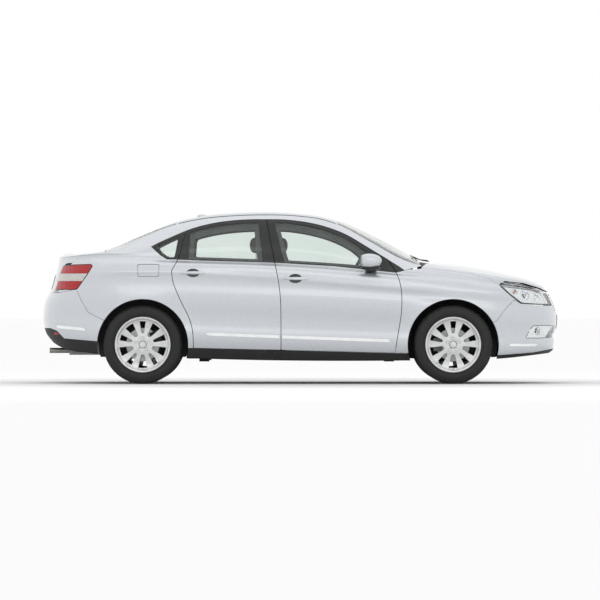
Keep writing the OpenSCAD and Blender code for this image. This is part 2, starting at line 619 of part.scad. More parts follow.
module dashboard() {
    console_w = 210;
    color("#2b2b2e") difference() {
        union() {
            translate([0, cabin_half, 0]) rotate([90, 0, 0]) linear_extrude(2 * cabin_half)
                polygon(mxz([[1015, 1060], [900, 1056], [800, 1036], [752, 990], [740, 860], [780, 740], [1015, 660]]));
            translate([mx(-150), -console_w / 2, floor_z + tunnel_h]) cube([mx(780) - mx(-150), console_w, mz(180)]);
            translate([mx(740), -console_w / 2, mz(500)]) cube([mx(980) - mx(740), console_w, mz(260)]);
            on_column() translate([0, 0, -330]) cylinder(r = 40, h = 140);
        }
        on_column() translate([0, 0, -300]) cylinder(r = shaft_r + 1, h = 300);
    }
}
seat_w = 500;
seat_y = my(365);
seat_slide = [-120, 50];
seat_side = [[-90, 330], [420, 330], [440, 470], [420, 510], [-20, 460], [-160, 1110], [-230, 1130], [-300, 1060],
    [-150, 380]];
headrest_side = [[-165, 1165], [-155, 1300], [-185, 1335], [-250, 1330], [-285, 1290], [-270, 1165]];
module front_seats() {
    color("#6b675f") for (k = [0, 1]) translate([seat_slide[k], (2 * k - 1) * seat_y, 0]) {
        translate([0, seat_w / 2, 0]) rotate([90, 0, 0]) linear_extrude(seat_w) polygon(mxz(seat_side));
        translate([0, 130, 0]) rotate([90, 0, 0]) linear_extrude(260) polygon(mxz(headrest_side));
        for (y = [-60, 60]) translate([mx(-220), y, mz(1080)]) cylinder(d = 14, h = mz(120));
        for (y = [-190, 150]) translate([mx(-90), y, floor_z + floor_t])
            cube([mx(380) - mx(-90), 40, mz(330) - floor_z - floor_t]);
    }
}
module rear_seat() {
    half = my(540);
    color("#6b675f") {
        translate([0, half, 0]) rotate([90, 0, 0]) linear_extrude(2 * half)
            polygon(concat([[mx(-1300), rear_floor_z + floor_t], [mx(-1000), rear_floor_z + floor_t]],
                mxz([[-640, 474], [-520, 500], [-500, 560], [-540, 600], [-1060, 570], [-1230, 1060], [-1300, 1060]])));
        for (y = [-my(330), my(330)]) translate([0, y + 120, 0]) rotate([90, 0, 0]) linear_extrude(240)
            polygon(mxz([[-1220, 1060], [-1230, 1190], [-1300, 1190], [-1300, 1060]]));
    }
}
steer_x = 490;
steer_y = 365;
steer_z = 1000;
steer_tilt = 65;
shaft_r = 12;
module on_column() {
    translate([mx(steer_x), my(steer_y), mz(steer_z)]) rotate([0, -steer_tilt, 0]) children();
}
module steering_wheel() {
    color("#232325") on_column() {
        rotate_extrude() translate([175, 0]) circle(r = 15);
        cylinder(r = 62, h = 34, center = true);
        for (a = [90, 210, 330]) rotate([0, 0, a]) translate([0, -14, -8]) cube([170, 28, 16]);
        translate([0, 0, -160]) cylinder(r = 24, h = 150);
        translate([0, 0, -280]) cylinder(r = shaft_r, h = 200);
    }
}

// ---- running gear ----
module engine() {
    color("#4a4c4e") translate([mx(1130), -300, mz(300)]) cube([mx(1700) - mx(1130), 600, mz(900) - mz(300)]);
}
arm_half_gap = kingpin_h / 2 + 22;
arm_w = 60;
arm_t = 26;
pin_r = 9;
module eye_arm(z, inner_y) {
    difference() {
        union() {
            translate([front_axle_x - arm_w / 2, inner_y, z - arm_t / 2]) cube([arm_w, kingpin_y - inner_y, arm_t]);
            translate([front_axle_x, kingpin_y, z - arm_t / 2]) cylinder(r = arm_w / 2, h = arm_t);
        }
        translate([front_axle_x, kingpin_y, z - arm_t]) cylinder(r = pin_r + 0.4, h = 2 * arm_t);
    }
}
module front_subframe() {
    rail_y = my(400);
    color("#2d2f31") {
        for (side = [-1, 1]) mirrored(side) {
            eye_arm(tyre_r - arm_half_gap, rail_y);
            eye_arm(tyre_r + arm_half_gap, rail_y);
            translate([front_axle_x - 70, rail_y - 50, tyre_r - arm_half_gap - 40])
                cube([140, 50, 2 * arm_half_gap + 80]);
            translate([mx(1015) + 35, rail_y - 50, tyre_r + arm_half_gap + 40])
                cube([mx(2200) - mx(1015) - 35, 50, 90]);
        }
        translate([front_axle_x - 120, -rail_y, tyre_r - arm_half_gap - 60]) cube([240, 2 * rail_y, 50]);
        translate([mx(2200), -my(430), tyre_r + arm_half_gap + 20]) cube([mx(2232) - mx(2200), 2 * my(430), 130]);
    }
}
hub_w = 42;
spindle_r = 18;
spindle_tip = 74;
module spindle(from_w) {
    rotate([-90, 0, 0]) translate([0, 0, from_w]) cylinder(r = spindle_r, h = spindle_tip - from_w);
}
disc_w = 13;
disc_t = 26;
caliper_t = 10;
module caliper(angle, from_w) {
    slot = 5;
    rotate([0, angle, 0]) difference() {
        union() {
            translate([-58, from_w, disc_d / 2 - 52]) cube([116, disc_w + disc_t + slot + caliper_t - from_w, 78]);
            translate([-25, from_w, 15]) cube([50, 40, disc_d / 2 - 50]);
        }
        rotate([-90, 0, 0]) translate([0, 0, disc_w - slot])
            cylinder(r = disc_d / 2 + slot, h = disc_t + 2 * slot);
    }
}
module knuckle(side) {
    color("#6d6f70") mirrored(side) translate([front_axle_x, kingpin_y, tyre_r]) {
        translate([0, 0, -arm_half_gap - arm_t / 2]) cylinder(r = pin_r, h = 2 * arm_half_gap + arm_t);
        translate([-24, -22, -arm_half_gap + arm_t / 2 + 1]) cube([48, 40, 2 * arm_half_gap - arm_t - 2]);
        translate([-60, -18, -30]) cube([120, 30, 60]);
        translate([-170, -20, -10]) cube([170, 24, 20]);
        translate([0, half_track - kingpin_y, 0]) {
            spindle(-15);
            caliper(-90, -34);
        }
    }
}
module rear_axle() {
    beam = 72;
    hub_back = 110;
    arm_y = my(500);
    arm_front = mx(-1020);
    color("#2d2f31") {
        translate([rear_axle_x - beam / 2, -half_track + hub_back, tyre_r - beam / 2])
            cube([beam, 2 * (half_track - hub_back), beam]);
        for (side = [-1, 1]) mirrored(side) {
            translate([rear_axle_x, half_track, tyre_r]) {
                spindle(-60);
                translate([-55, -hub_back, -55]) cube([110, 70, 110]);
                caliper(60, -86);
            }
            translate([rear_axle_x, arm_y - 30, tyre_r - 30]) cube([arm_front - rear_axle_x, 60, 60]);
            translate([rear_axle_x, arm_y, tyre_r + 20]) cylinder(r = 26, h = rear_floor_z - tyre_r - 20);
        }
    }
}
module exhaust() {
    pipe_r = 24;
    pipe_y = -45;
    pipe_z = floor_z + 40;
    front_x = mx(1150);
    silencer_back = mx(-2090);
    silencer_z = mz(316);
    tail_tip = mx(-2270);
    color("#8a8c8e") {
        translate([silencer_back + 320, pipe_y, pipe_z]) rotate([0, 90, 0])
            cylinder(r = pipe_r, h = front_x - silencer_back - 320);
        translate([front_x, pipe_y, pipe_z - pipe_r]) cylinder(r = pipe_r, h = mz(300) - pipe_z + pipe_r);
        translate([silencer_back, -260, silencer_z - 60]) cube([330, 260, 120]);
        translate([tail_tip, -200, silencer_z - 20]) rotate([0, 90, 0]) cylinder(r = pipe_r, h = silencer_back - tail_tip + 10);
    }
}
module fuel_tank() {
    color("#1f2022") translate([mx(-1180), 40, mz(268)])
        cube([mx(-1020) - mx(-1180), my(430) - 40, rear_floor_z - mz(268)]);
}

// ---- wheels ----
rim_w = 196;
module place_wheel(axle_x, side) {
    translate([axle_x, side * half_track, tyre_r]) rotate([side > 0 ? -90 : 90, 0, 0]) children();
}
bead_depth = 15;
flange_t = 8;
bead_fit = 0.6;
tyre_profile = let (t = tyre_r, w = tyre_w / 2, b = rim_d / 2, f = rim_w / 2, bead = b - bead_depth + bead_fit,
    face = f - flange_t - bead_fit)
    [[bead, -face], [b, -face], [b + 4, -f], [b + 26, -w + 4], [(b + t) / 2 + 6, -w], [t - 26, -w + 6], [t - 10, -w + 14],
        [t - 3, -w + 26], [t, -w + 46], [t, w - 46], [t - 3, w - 26], [t - 10, w - 14], [t - 26, w - 6], [(b + t) / 2 + 6, w],
        [b + 26, w - 4], [b + 4, f], [b, face], [bead, face], [bead, f - 26], [b + 14, f - 18], [(b + t) / 2 + 4, w - 12],
        [t - 20, w - 24], [t - 14, w - 44], [t - 14, -w + 44], [t - 20, -w + 24], [(b + t) / 2 + 4, -w + 12], [b + 14, -f + 18],
        [bead, -f + 26]];
module tyre(axle_x, side) {
    color("#18191a") place_wheel(axle_x, side) rotate_extrude($fn = 96) polygon(tyre_profile);
}
barrel_profile = let (b = rim_d / 2, f = rim_w / 2, bead = b - bead_depth)
    [[b, -f], [b, -f + flange_t], [bead, -f + flange_t], [bead, -f + 26], [b - 34, -f + 44], [b - 34, f - 70],
        [bead, f - 40], [bead, f - flange_t], [b, f - flange_t], [b, f], [b - 8, f], [b - 25, f - 12], [b - 25, f - 36],
        [b - 44, f - 68], [b - 44, -f + 42], [b - 24, -f + 22], [b - 24, -f + 8], [b - 8, -f]];
spoke_splay = 16;
spoke_w = hub_w + 18;
spoke_t = 18;
module rim(axle_x, side) {
    spoke_r = rim_d / 2 - 20;
    color("silver") place_wheel(axle_x, side) difference() {
        union() {
            rotate_extrude($fn = 96) polygon(barrel_profile);
            translate([0, 0, hub_w]) cylinder(r = 92, h = 34);
            for (k = [0:spoke_pairs - 1], s = [-1, 1])
                rotate([0, 0, 90 + 360 / spoke_pairs * k + s * spoke_splay]) translate([0, 0, spoke_w])
                    linear_extrude(spoke_t) polygon([[84, -21], [spoke_r, -30], [spoke_r, 30], [84, 21]]);
        }
        cylinder(r = spindle_r + 0.4, h = rim_w);
        for (k = [0:4]) rotate([0, 0, 72 * k + 90]) translate([bolt_circle_d / 2, 0, 0]) cylinder(r = 7, h = rim_w);
    }
}
module disc(axle_x, side) {
    color("#9a9c9e") place_wheel(axle_x, side) difference() {
        union() {
            translate([0, 0, disc_w]) cylinder(d = disc_d, h = disc_t);
            translate([0, 0, disc_w]) cylinder(r = 72, h = hub_w - disc_w);
        }
        cylinder(r = spindle_r + 0.4, h = rim_w);
    }
}

body_side(1);  // body_side_left
body_side(-1);  // body_side_right
roof();
floor_pan();
front_wings();
front_bumper();
rear_bumper();
grille();
front_lamps();
tail_lamps();
fixed_windows();
sill_covers();
arch_liners();
cowl_panel();
dashboard();
front_seats();
rear_seat();
engine();
front_subframe();
rear_axle();
exhaust();
fuel_tank();
bonnet();
boot_lid();
fuel_flap();
door(front_door_outline, front_window, 1);  // front_door_left
door(front_door_outline, front_window, -1);  // front_door_right
door(rear_door_outline, rear_door_window, 1);  // rear_door_left
door(rear_door_outline, rear_door_window, -1);  // rear_door_right
door_glass(front_window, 1);  // front_glass_left
door_glass(front_window, -1);  // front_glass_right
door_glass(rear_door_window, 1);  // rear_glass_left
door_glass(rear_door_window, -1);  // rear_glass_right
door_mirror(1);  // mirror_left
door_mirror(-1);  // mirror_right
handle(-42, 945, 1);  // front_handle_left
handle(-42, 945, -1);  // front_handle_right
handle(-960, 997, 1);  // rear_handle_left
handle(-960, 997, -1);  // rear_handle_right
steering_wheel();
knuckle(1);  // knuckle_left
knuckle(-1);  // knuckle_right
tyre(front_axle_x, 1);  // front_left_tyre
tyre(front_axle_x, -1);  // front_right_tyre
tyre(rear_axle_x, 1);  // rear_left_tyre
tyre(rear_axle_x, -1);  // rear_right_tyre
rim(front_axle_x, 1);  // front_left_rim
rim(front_axle_x, -1);  // front_right_rim
rim(rear_axle_x, 1);  // rear_left_rim
rim(rear_axle_x, -1);  // rear_right_rim
disc(front_axle_x, 1);  // front_left_disc
disc(front_axle_x, -1);  // front_right_disc
disc(rear_axle_x, 1);  // rear_left_disc
disc(rear_axle_x, -1);  // rear_right_disc
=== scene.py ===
import bpy, math
import numpy as np
from mathutils import Vector, Matrix
from mathutils.bvhtree import BVHTree


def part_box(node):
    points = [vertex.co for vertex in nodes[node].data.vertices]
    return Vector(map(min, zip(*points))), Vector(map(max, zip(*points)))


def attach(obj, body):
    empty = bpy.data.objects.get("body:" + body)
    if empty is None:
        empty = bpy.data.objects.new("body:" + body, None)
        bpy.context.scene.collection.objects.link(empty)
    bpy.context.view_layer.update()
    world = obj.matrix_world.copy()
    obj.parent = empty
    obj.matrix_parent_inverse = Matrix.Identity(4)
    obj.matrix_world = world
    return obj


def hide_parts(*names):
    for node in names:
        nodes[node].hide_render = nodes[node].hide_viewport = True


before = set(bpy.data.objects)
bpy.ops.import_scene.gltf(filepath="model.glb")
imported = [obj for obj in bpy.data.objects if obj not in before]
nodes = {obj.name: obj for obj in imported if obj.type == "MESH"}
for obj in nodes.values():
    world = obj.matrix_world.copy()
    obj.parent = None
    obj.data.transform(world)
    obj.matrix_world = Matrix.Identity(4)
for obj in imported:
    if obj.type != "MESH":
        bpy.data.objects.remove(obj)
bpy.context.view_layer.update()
mm = 0.001


def deselect():
    for obj in bpy.context.selected_objects:
        obj.select_set(False)


def activate(obj):
    deselect()
    obj.select_set(True)
    bpy.context.view_layer.objects.active = obj
    return obj


def added(name):
    # takes the primitive that was just added and names it
    obj = bpy.context.active_object
    obj.name = obj.data.name = name
    return obj


def applied(obj, kind, **settings):
    activate(obj)
    modifier = obj.modifiers.new(kind.title(), kind)
    for key, value in settings.items():
        setattr(modifier, key, value)
    bpy.ops.object.modifier_apply(modifier=modifier.name)
    return obj


def copied(obj, name):
    twin = obj.copy()
    twin.data = obj.data.copy()
    twin.name = twin.data.name = name
    bpy.context.scene.collection.objects.link(twin)
    return twin


def joined(objs, name):
    activate(objs[0])
    for obj in objs[1:]:
        obj.select_set(True)
    if len(objs) > 1:
        bpy.ops.object.join()
    return added(name)


def removed(*objs):
    for obj in objs:
        bpy.data.objects.remove(obj)


def settle(obj):
    # the place, turn and size go into the mesh
    activate(obj)
    bpy.ops.object.transform_apply(location=True, rotation=True, scale=True)
    return obj


def mirroredTwin(obj, name):
    # the same piece on the other side of the car
    twin = copied(obj, name)
    twin.data.transform(Matrix.Diagonal((1, -1, 1, 1)))
    twin.data.flip_normals()
    return twin


def smooth(obj, angle=35):
    activate(obj)
    bpy.ops.object.shade_smooth_by_angle(angle=math.radians(angle))
    return obj


def dressed(obj, *materials):
    obj.data.materials.clear()
    for material in materials:
        obj.data.materials.append(material)
    return obj


def place(obj, body, material=None, replaces=()):
    if material is not None:
        dressed(obj, material)
    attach(obj, body)
    if replaces:
        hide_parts(*replaces)
    return obj


def linear(code):
    values = [int(code[i:i + 2], 16) / 255 for i in (1, 3, 5)]
    return [v / 12.92 if v <= 0.04045 else ((v + 0.055) / 1.055) ** 2.4 for v in values] + [1]


def addNode(material, kind, settings=None, links=None):
    node = material.node_tree.nodes.new(kind)
    for key, value in (settings or {}).items():
        if isinstance(key, str) and hasattr(node, key):
            setattr(node, key, value)
        else:
            node.inputs[key].default_value = value
    for key, source in (links or {}).items():
        material.node_tree.links.new(source, node.inputs[key])
    return node


def startMaterial(name, **shader):
    material = bpy.data.materials.new(name)
    material.use_nodes = True
    main = material.node_tree.nodes["Principled BSDF"]
    for key, value in shader.items():
        main.inputs[key.replace("_", " ")].default_value = value
    where = addNode(material, "ShaderNodeTexCoord").outputs["Object"]
    return material, main, where


def tint(material, main, fac, dark, light, low=0.3, high=0.7):
    ramp = addNode(material, "ShaderNodeValToRGB", links={"Fac": fac})
    for stop, position, code in zip(ramp.color_ramp.elements, (low, high), (dark, light)):
        stop.position, stop.color = position, linear(code)
    material.node_tree.links.new(ramp.outputs["Color"], main.inputs["Base Color"])


def bump(material, main, height, depthMm, strength=1.0):
    node = addNode(material, "ShaderNodeBump", {"Strength": strength, "Distance": depthMm * mm},
                   {"Height": height})
    material.node_tree.links.new(node.outputs["Normal"], main.inputs["Normal"])


def spread(material, fac, low, high, socket):
    # a pattern's 0 to 1 becomes low to high on the shader
    node = addNode(material, "ShaderNodeMapRange", {"To Min": low, "To Max": high}, {"Value": fac})
    material.node_tree.links.new(node.outputs["Result"], socket)


def noise(material, where, sizeMm, detail=2.0, rough=0.5):
    settings = {"Scale": 1 / (sizeMm * mm), "Detail": detail, "Roughness": rough}
    return addNode(material, "ShaderNodeTexNoise", settings, {"Vector": where}).outputs["Fac"]


def silverPaint():
    # silver metallic paint under a clear coat: bright flakes in a pale base, glossy film on top
    material, main, where = startMaterial("silver_metallic_paint", Metallic=0.55, Roughness=0.34,
                                          Coat_Weight=1.0, Coat_Roughness=0.03)
    # real flakes are 0.05 mm, drawn at 3 mm so that they show
    flakes = addNode(material, "ShaderNodeTexVoronoi", {"Scale": 1 / (3 * mm)}, {"Vector": where})
    tint(material, main, flakes.outputs["Color"], "#BFC3C8", "#CFD3D8", 0.2, 0.8)
    spread(material, noise(material, where, 90), 0.30, 0.38, main.inputs["Roughness"])
    return material


def grainedPlastic(name, dark, light, roughness, grainMm=1.6, depthMm=0.12):
    # injection-moulded ABS with a fine leather grain from its mould
    material, main, where = startMaterial(name, Roughness=roughness)
    grain = addNode(material, "ShaderNodeTexVoronoi", {"Scale": 1 / (grainMm * mm)}, {"Vector": where})
    tint(material, main, noise(material, where, 120), dark, light)
    spread(material, noise(material, where, 25), roughness - 0.06, roughness + 0.08, main.inputs["Roughness"])
    bump(material, main, grain.outputs["Distance"], depthMm)
    return material


def tyreRubber():
    # vulcanised rubber: near-black, dull, with a faint grey bloom and dusty patches
    material, main, where = startMaterial("vulcanised_rubber", Roughness=0.62)
    tint(material, main, noise(material, where, 60, 4), "#0E0F0F", "#181919")
    spread(material, noise(material, where, 30, 3), 0.52, 0.74, main.inputs["Roughness"])
    bump(material, main, noise(material, where, 2.0, 3), 0.15)
    return material


def castAlloy():
    # cast aluminium wheel with silver lacquer
    material, main, where = startMaterial("silver_lacquered_alloy", Metallic=0.75, Roughness=0.3,
                                          Coat_Weight=0.6, Coat_Roughness=0.06)
    tint(material, main, noise(material, where, 40, 3), "#C8C9C9", "#D9DAD9")
    spread(material, noise(material, where, 4, 3), 0.26, 0.38, main.inputs["Roughness"])
    return material


def turnedSteel(name, dark, light, roughness, ringMm=1.4):
    # turned or rolled steel: rings or streaks from the tool, with a little heat and dust colour
    material, main, where = startMaterial(name, Metallic=0.9, Roughness=roughness)
    tint(material, main, noise(material, where, 50, 4), dark, light)
    bump(material, main, noise(material, where, ringMm, 2), 0.08)
    spread(material, noise(material, where, 14, 3), roughness - 0.08, roughness + 0.12, main.inputs["Roughness"])
    return material


def chrome():
    # bright chrome plate on plastic
    material, main, where = startMaterial("chrome_plate", Metallic=1.0, Roughness=0.08)
    tint(material, main, noise(material, where, 70), "#E6E7E8", "#F1F2F3")
    spread(material, noise(material, where, 20, 3), 0.05, 0.12, main.inputs["Roughness"])
    return material


def windowGlass():
    # toughened glass with the usual green tint
    material, main, where = startMaterial("green_tinted_glass", Roughness=0.0, IOR=1.5)
    main.inputs["Transmission Weight"].default_value = 1.0
    tint(material, main, noise(material, where, 400), "#EAF1EE", "#EFF5F2")
    return material


def clearPlastic(name, dark, light, roughness=0.02):
    # moulded polycarbonate or acrylic lens
    material, main, where = startMaterial(name, Roughness=roughness, IOR=1.49)
    main.inputs["Transmission Weight"].default_value = 1.0
    tint(material, main, noise(material, where, 30), dark, light)
    return material


def flutedLens(name, dark, light):
    # coloured acrylic with moulded flutes about 6 mm apart that scatter the lamp's light
    material, main, where = startMaterial(name, Roughness=0.12, IOR=1.49)
    main.inputs["Transmission Weight"].default_value = 0.35
    wave = addNode(material, "ShaderNodeTexWave", {"Scale": 1 / (20 * mm) / 6.28, "bands_direction": "X",
                                                   "Distortion": 0.0}, {"Vector": where})
    tint(material, main, noise(material, where, 22, 2), dark, light)
    bump(material, main, wave.outputs["Fac"], 0.6)
    return material


def wovenCloth(name, dark, light, threadMm=2.4):
    # woven polyester seat cloth; real threads are 0.5 mm, drawn coarser so that the weave shows
    material, main, where = startMaterial(name, Roughness=0.85, Sheen_Weight=0.3, Sheen_Roughness=0.5)
    threads = []
    for direction in ("Y", "DIAGONAL"):
        settings = {"Scale": 1 / (threadMm * mm) / 3.14, "bands_direction": direction}
        threads.append(addNode(material, "ShaderNodeTexWave", settings, {"Vector": where}).outputs["Fac"])
    weave = addNode(material, "ShaderNodeMath", {"operation": "MULTIPLY"}, dict(enumerate(threads))).outputs[0]
    tint(material, main, noise(material, where, 9, 3), dark, light)
    bump(material, main, weave, 0.5, 0.8)
    return material


paint = silverPaint()
satinBlack = grainedPlastic("satin_black_moulding", "#17191A", "#1F2122", 0.32, 2.0, 0.03)
roughBlack = grainedPlastic("grained_black_plastic", "#141516", "#1C1D1E", 0.6, 2.2, 0.2)
cabinPlastic = grainedPlastic("soft_grained_dashboard", "#2E3133", "#3A3D3F", 0.6, 2.4, 0.25)
# grey trim inside the car; it also colours the door handle cups as painted shade in their recesses
greyTrimAndCupShade = grainedPlastic("grey_trim_and_painted_cup_shade", "#4A5150", "#59605F", 0.65, 2.4, 0.2)
headlining = wovenCloth("headlining_felt", "#6C7270", "#7B817F", 3.0)
rubber = tyreRubber()
alloy = castAlloy()
discSteel = turnedSteel("turned_disc_steel", "#8A8C8E", "#A5A7A9", 0.35)
underSteel = turnedSteel("e_coated_steel", "#1E2022", "#2C2F31", 0.55, 3)
exhaustSteel = turnedSteel("stainless_exhaust", "#8C8A86", "#A8A6A2", 0.38, 4)
castIron = turnedSteel("cast_iron", "#55575A", "#6B6D70", 0.6, 3)
engineMetal = turnedSteel("sand_cast_aluminium", "#7E8285", "#979B9E", 0.55, 4)
brightChrome = chrome()
glass = windowGlass()
clearLens = clearPlastic("clear_polycarbonate", "#F2F5F6", "#FAFCFC")
redLens = flutedLens("red_acrylic", "#B3141C", "#D42730")
whiteLens = flutedLens("frosted_clear_acrylic", "#D9D6D2", "#EDEAE6")
amberLens = flutedLens("amber_acrylic", "#D98A4A", "#EBA35E")
tankPlastic = grainedPlastic("blown_polyethylene", "#1B1C1E", "#252729", 0.5, 5, 0.3)
seatCloth = wovenCloth("woven_seat_cloth", "#4E5654", "#5C6462")
plateWhite = grainedPlastic("white_reflective_plate", "#DDDEDC", "#E8E9E7", 0.3, 1.2, 0.02)
print("materials done")


# Heights and half widths in millimetres along the car, the same lines that the frame's shell is drawn from.
bodyLines = {
    "sill": [(-2240, 372), (-2150, 326), (-1825, 271), (-1000, 231), (966, 210), (1788, 226), (2262, 275)],
    "skirt": [(-2300, 450), (-2180, 418), (-1825, 370), (-996, 325), (967, 273), (1788, 259), (2292, 300)],
    "strip": [(-2322, 520), (-1925, 492), (-851, 450), (805, 392), (1870, 352), (2316, 355)],
    "hollow": [(-2330, 600), (-1925, 580), (-851, 532), (805, 476), (1870, 430), (2316, 440)],
    "bulge": [(-2312, 740), (-1500, 790), (-600, 790), (600, 765), (1400, 700), (2330, 600)],
    "underCrease": [(-2250, 860), (-1815, 945), (-1360, 958), (-450, 910), (905, 812), (1500, 760), (2312, 700)],
    "crease": [(-2222, 960), (-1815, 998), (-1360, 1006), (-359, 962), (905, 862), (1400, 835), (2282, 770)],
    "shoulder": [(-2196, 1060), (-1800, 1092), (-1360, 1080), (-359, 1046), (905, 955), (1900, 870), (2250, 825)],
    "belt": [(-2185, 1135), (-1761, 1163), (-1500, 1150), (-1195, 1121), (-882, 1109), (-350, 1094), (298, 1059),
             (863, 1002), (1087, 985), (1470, 948), (1806, 905), (2214, 862)],
    "doorTop": [(-2185, 1138), (-1761, 1177), (-1500, 1196), (-1336, 1240), (-1178, 1309), (-1012, 1380),
                (-838, 1431), (-663, 1461), (-359, 1478), (-7, 1462), (219, 1415), (428, 1334), (568, 1250),
                (776, 1124), (942, 1032), (1100, 1032), (1470, 996), (1806, 944), (2214, 865)],
    "ditch": [(-2185, 1139), (-1900, 1174), (-1761, 1186), (-1650, 1224), (-1428, 1318), (-1142, 1428),
              (-900, 1482), (-600, 1512), (-359, 1520), (0, 1508), (186, 1482), (350, 1430), (623, 1283),
              (951, 1106), (1060, 1072), (1200, 1058), (1470, 1024), (1806, 971), (2050, 928), (2214, 868)],
    "centre": [(-2185, 1140), (-2150, 1164), (-1997, 1177), (-1800, 1200), (-1724, 1220), (-1506, 1312),
               (-1178, 1437), (-851, 1521), (-500, 1548), (-200, 1549), (186, 1513), (350, 1476), (623, 1359),
               (951, 1187), (1080, 1114), (1170, 1098), (1388, 1078), (1824, 1003), (2043, 947), (2152, 909),
               (2214, 871)],
    "shoulderWidth": [(-2330, 850), (-1500, 872), (-900, 895), (900, 895), (1500, 885), (2330, 850)],
    "beltWidth": [(-2330, 735), (-1761, 788), (-1195, 806), (-350, 820), (863, 826), (1087, 838), (1470, 855),
                  (1806, 835), (2330, 790)],
    "ditchWidth": [(-2330, 610), (-1761, 664), (-1428, 632), (-1142, 604), (-359, 592), (300, 588), (623, 652),
                   (951, 722), (1096, 728), (1470, 705), (2330, 640)],
    "planTaper": [(-2330, 0.965), (-1400, 0.99), (-500, 1), (600, 1), (1400, 0.99), (2330, 0.965)],
}
# Rows from the sill up: half width, nose, tail, height line.
sideRows = [
    (856, 2262, -2240, "sill"), (896, 2292, -2300, "skirt"), (917, 2316, -2322, "strip"),
    (905, 2316, -2330, "hollow"), (925, 2330, -2312, "bulge"), (910, 2312, -2250, "underCrease"),
    (921, 2282, -2222, "crease"), ("shoulderWidth", 2250, -2196, "shoulder"), ("beltWidth", 2214, -2185, "belt")]
rowFacing = [(1, 0)] * 7 + [(0.95, 0.2), (0.8, 0.5), (0.92, 0.35), (0.85, 0.5), (0.4, 0.9), (0.1, 1), (0, 1)]
shape = {"nose": 2330, "halfWidth": 925, "cornerFront": 800, "cornerRear": 700, "cornerPower": 3.6,
         "blendFrom": 1400, "tumblehome": 0.455, "flareDepth": 12, "flareReach": 130, "frontAxle": 1374,
         "rearAxle": -1411, "tyreRadius": 352.5, "archRadius": 409.5, "rows": 9, "creaseRow": 6,
         "topCurve": 0.55, "topRise": 0.72, "gridFrom": -1645, "gridTo": 1545, "creaseFrom": -1900, "creaseTo": 1100}


def hermite(a, b, slopeA, slopeB, t):
    return ((2 * t ** 3 - 3 * t ** 2 + 1) * a + (t ** 3 - 2 * t ** 2 + t) * slopeA
            + (3 * t ** 2 - 2 * t ** 3) * b + (t ** 3 - t ** 2) * slopeB)


def lineAt(line, x):
    if not isinstance(line, str):
        return np.full_like(x, line, float)
    points = np.array(bodyLines[line], float)
    xs, ys = points[:, 0], points[:, 1]
    step = np.diff(xs)
    secant = np.diff(ys) / step
    inside = (secant[:-1] * step[1:] + secant[1:] * step[:-1]) / (step[:-1] + step[1:])
    slope = np.concatenate([secant[:1], inside, secant[-1:]])
    x = np.clip(x, xs[0], xs[-1])
    i = np.clip(np.searchsorted(xs, x, side="right") - 1, 0, len(step) - 1)
    return hermite(ys[i], ys[i + 1], slope[i] * step[i], slope[i + 1] * step[i], (x - xs[i]) / step[i])


def ease(t):
    t = np.clip(t, 0, 1)
    return t * t * (3 - 2 * t)


def corner(x):
    fromNose, fromTail = (shape["nose"] - x) / shape["cornerFront"], (x + shape["nose"]) / shape["cornerRear"]
    s = np.clip(np.minimum(fromNose, fromTail), 0, 1)
    return (1 - (1 - s) ** 2) ** (1 / shape["cornerPower"])


def rowX(x, nose, tail):
    span = shape["nose"] - shape["blendFrom"]
    return (x + (nose - shape["nose"]) * ease((x - shape["blendFrom"]) / span)
            + (tail + shape["nose"]) * ease((-x - shape["blendFrom"]) / span))


def sectionRows(x, wall, drop):
    side, post, skin, end = wall
    thick = [side] * shape["rows"] + [post] * 2 + [skin] * 3
    bend, rows = corner(x), []
    for k, (half, nose, tail, line) in enumerate(sideRows):
        at = rowX(x, nose - end, tail + end)
        y = (lineAt(half, at) * lineAt("planTaper", at) - thick[k] * rowFacing[k][0]) * bend
        rows.append((at, y, lineAt(line, at) - thick[k] * rowFacing[k][1] - (drop if k == 0 else 0)))
    at = rows[8][0]
    taper = lineAt("planTaper", at)
    beltY, beltZ, topZ = lineAt("beltWidth", at) * taper * bend, lineAt("belt", at), lineAt("doorTop", at)
    topY = beltY - shape["tumblehome"] * (topZ - beltZ) * bend
    ditchY, ditchZ, midZ = lineAt("ditchWidth", at) * taper * bend, lineAt("ditch", at), lineAt("centre", at)
    upper = [((beltY + topY) / 2 + 8 * bend, (beltZ + topZ) / 2), (topY, topZ), (ditchY, ditchZ),
             (shape["topCurve"] * ditchY, ditchZ + shape["topRise"] * (midZ - ditchZ)), (0 * ditchY, midZ)]
    for k, (y, z) in enumerate(upper, shape["rows"]):
        rows.append((at, np.maximum(y - thick[k] * rowFacing[k][0] * bend, 0), z - thick[k] * rowFacing[k][1]))
    return np.array(rows).transpose(0, 2, 1)


def filledRows(p, count, sharp):
    # a curve through the rows; sharp is how much of a fold the crease row keeps
    chord = [np.linalg.norm(p[i + 1] - p[i], axis=1, keepdims=True) + 1 for i in range(len(p) - 1)]

    def tangent(i, segment):
        if i == 0:
            return p[1] - p[0]
        if i == len(p) - 1:
            return (p[i] - p[i - 1]) * np.array([0, 1, 0])
        below, above = (p[i] - p[i - 1]) / chord[i - 1], (p[i + 1] - p[i]) / chord[i]
        both = (below * chord[i] + above * chord[i - 1]) / (chord[i - 1] + chord[i])
        if i == shape["creaseRow"]:
            both = both + (sharp * ((below if segment < i else above) - both))
        return both * chord[segment]

    rows = []
    for i in range(len(p) - 1):
        for s in range(count):
            rows.append(p[i] if s == 0 else hermite(p[i], p[i + 1], tangent(i, i), tangent(i + 1, i), s / count))
    return np.array(rows + [p[-1]])


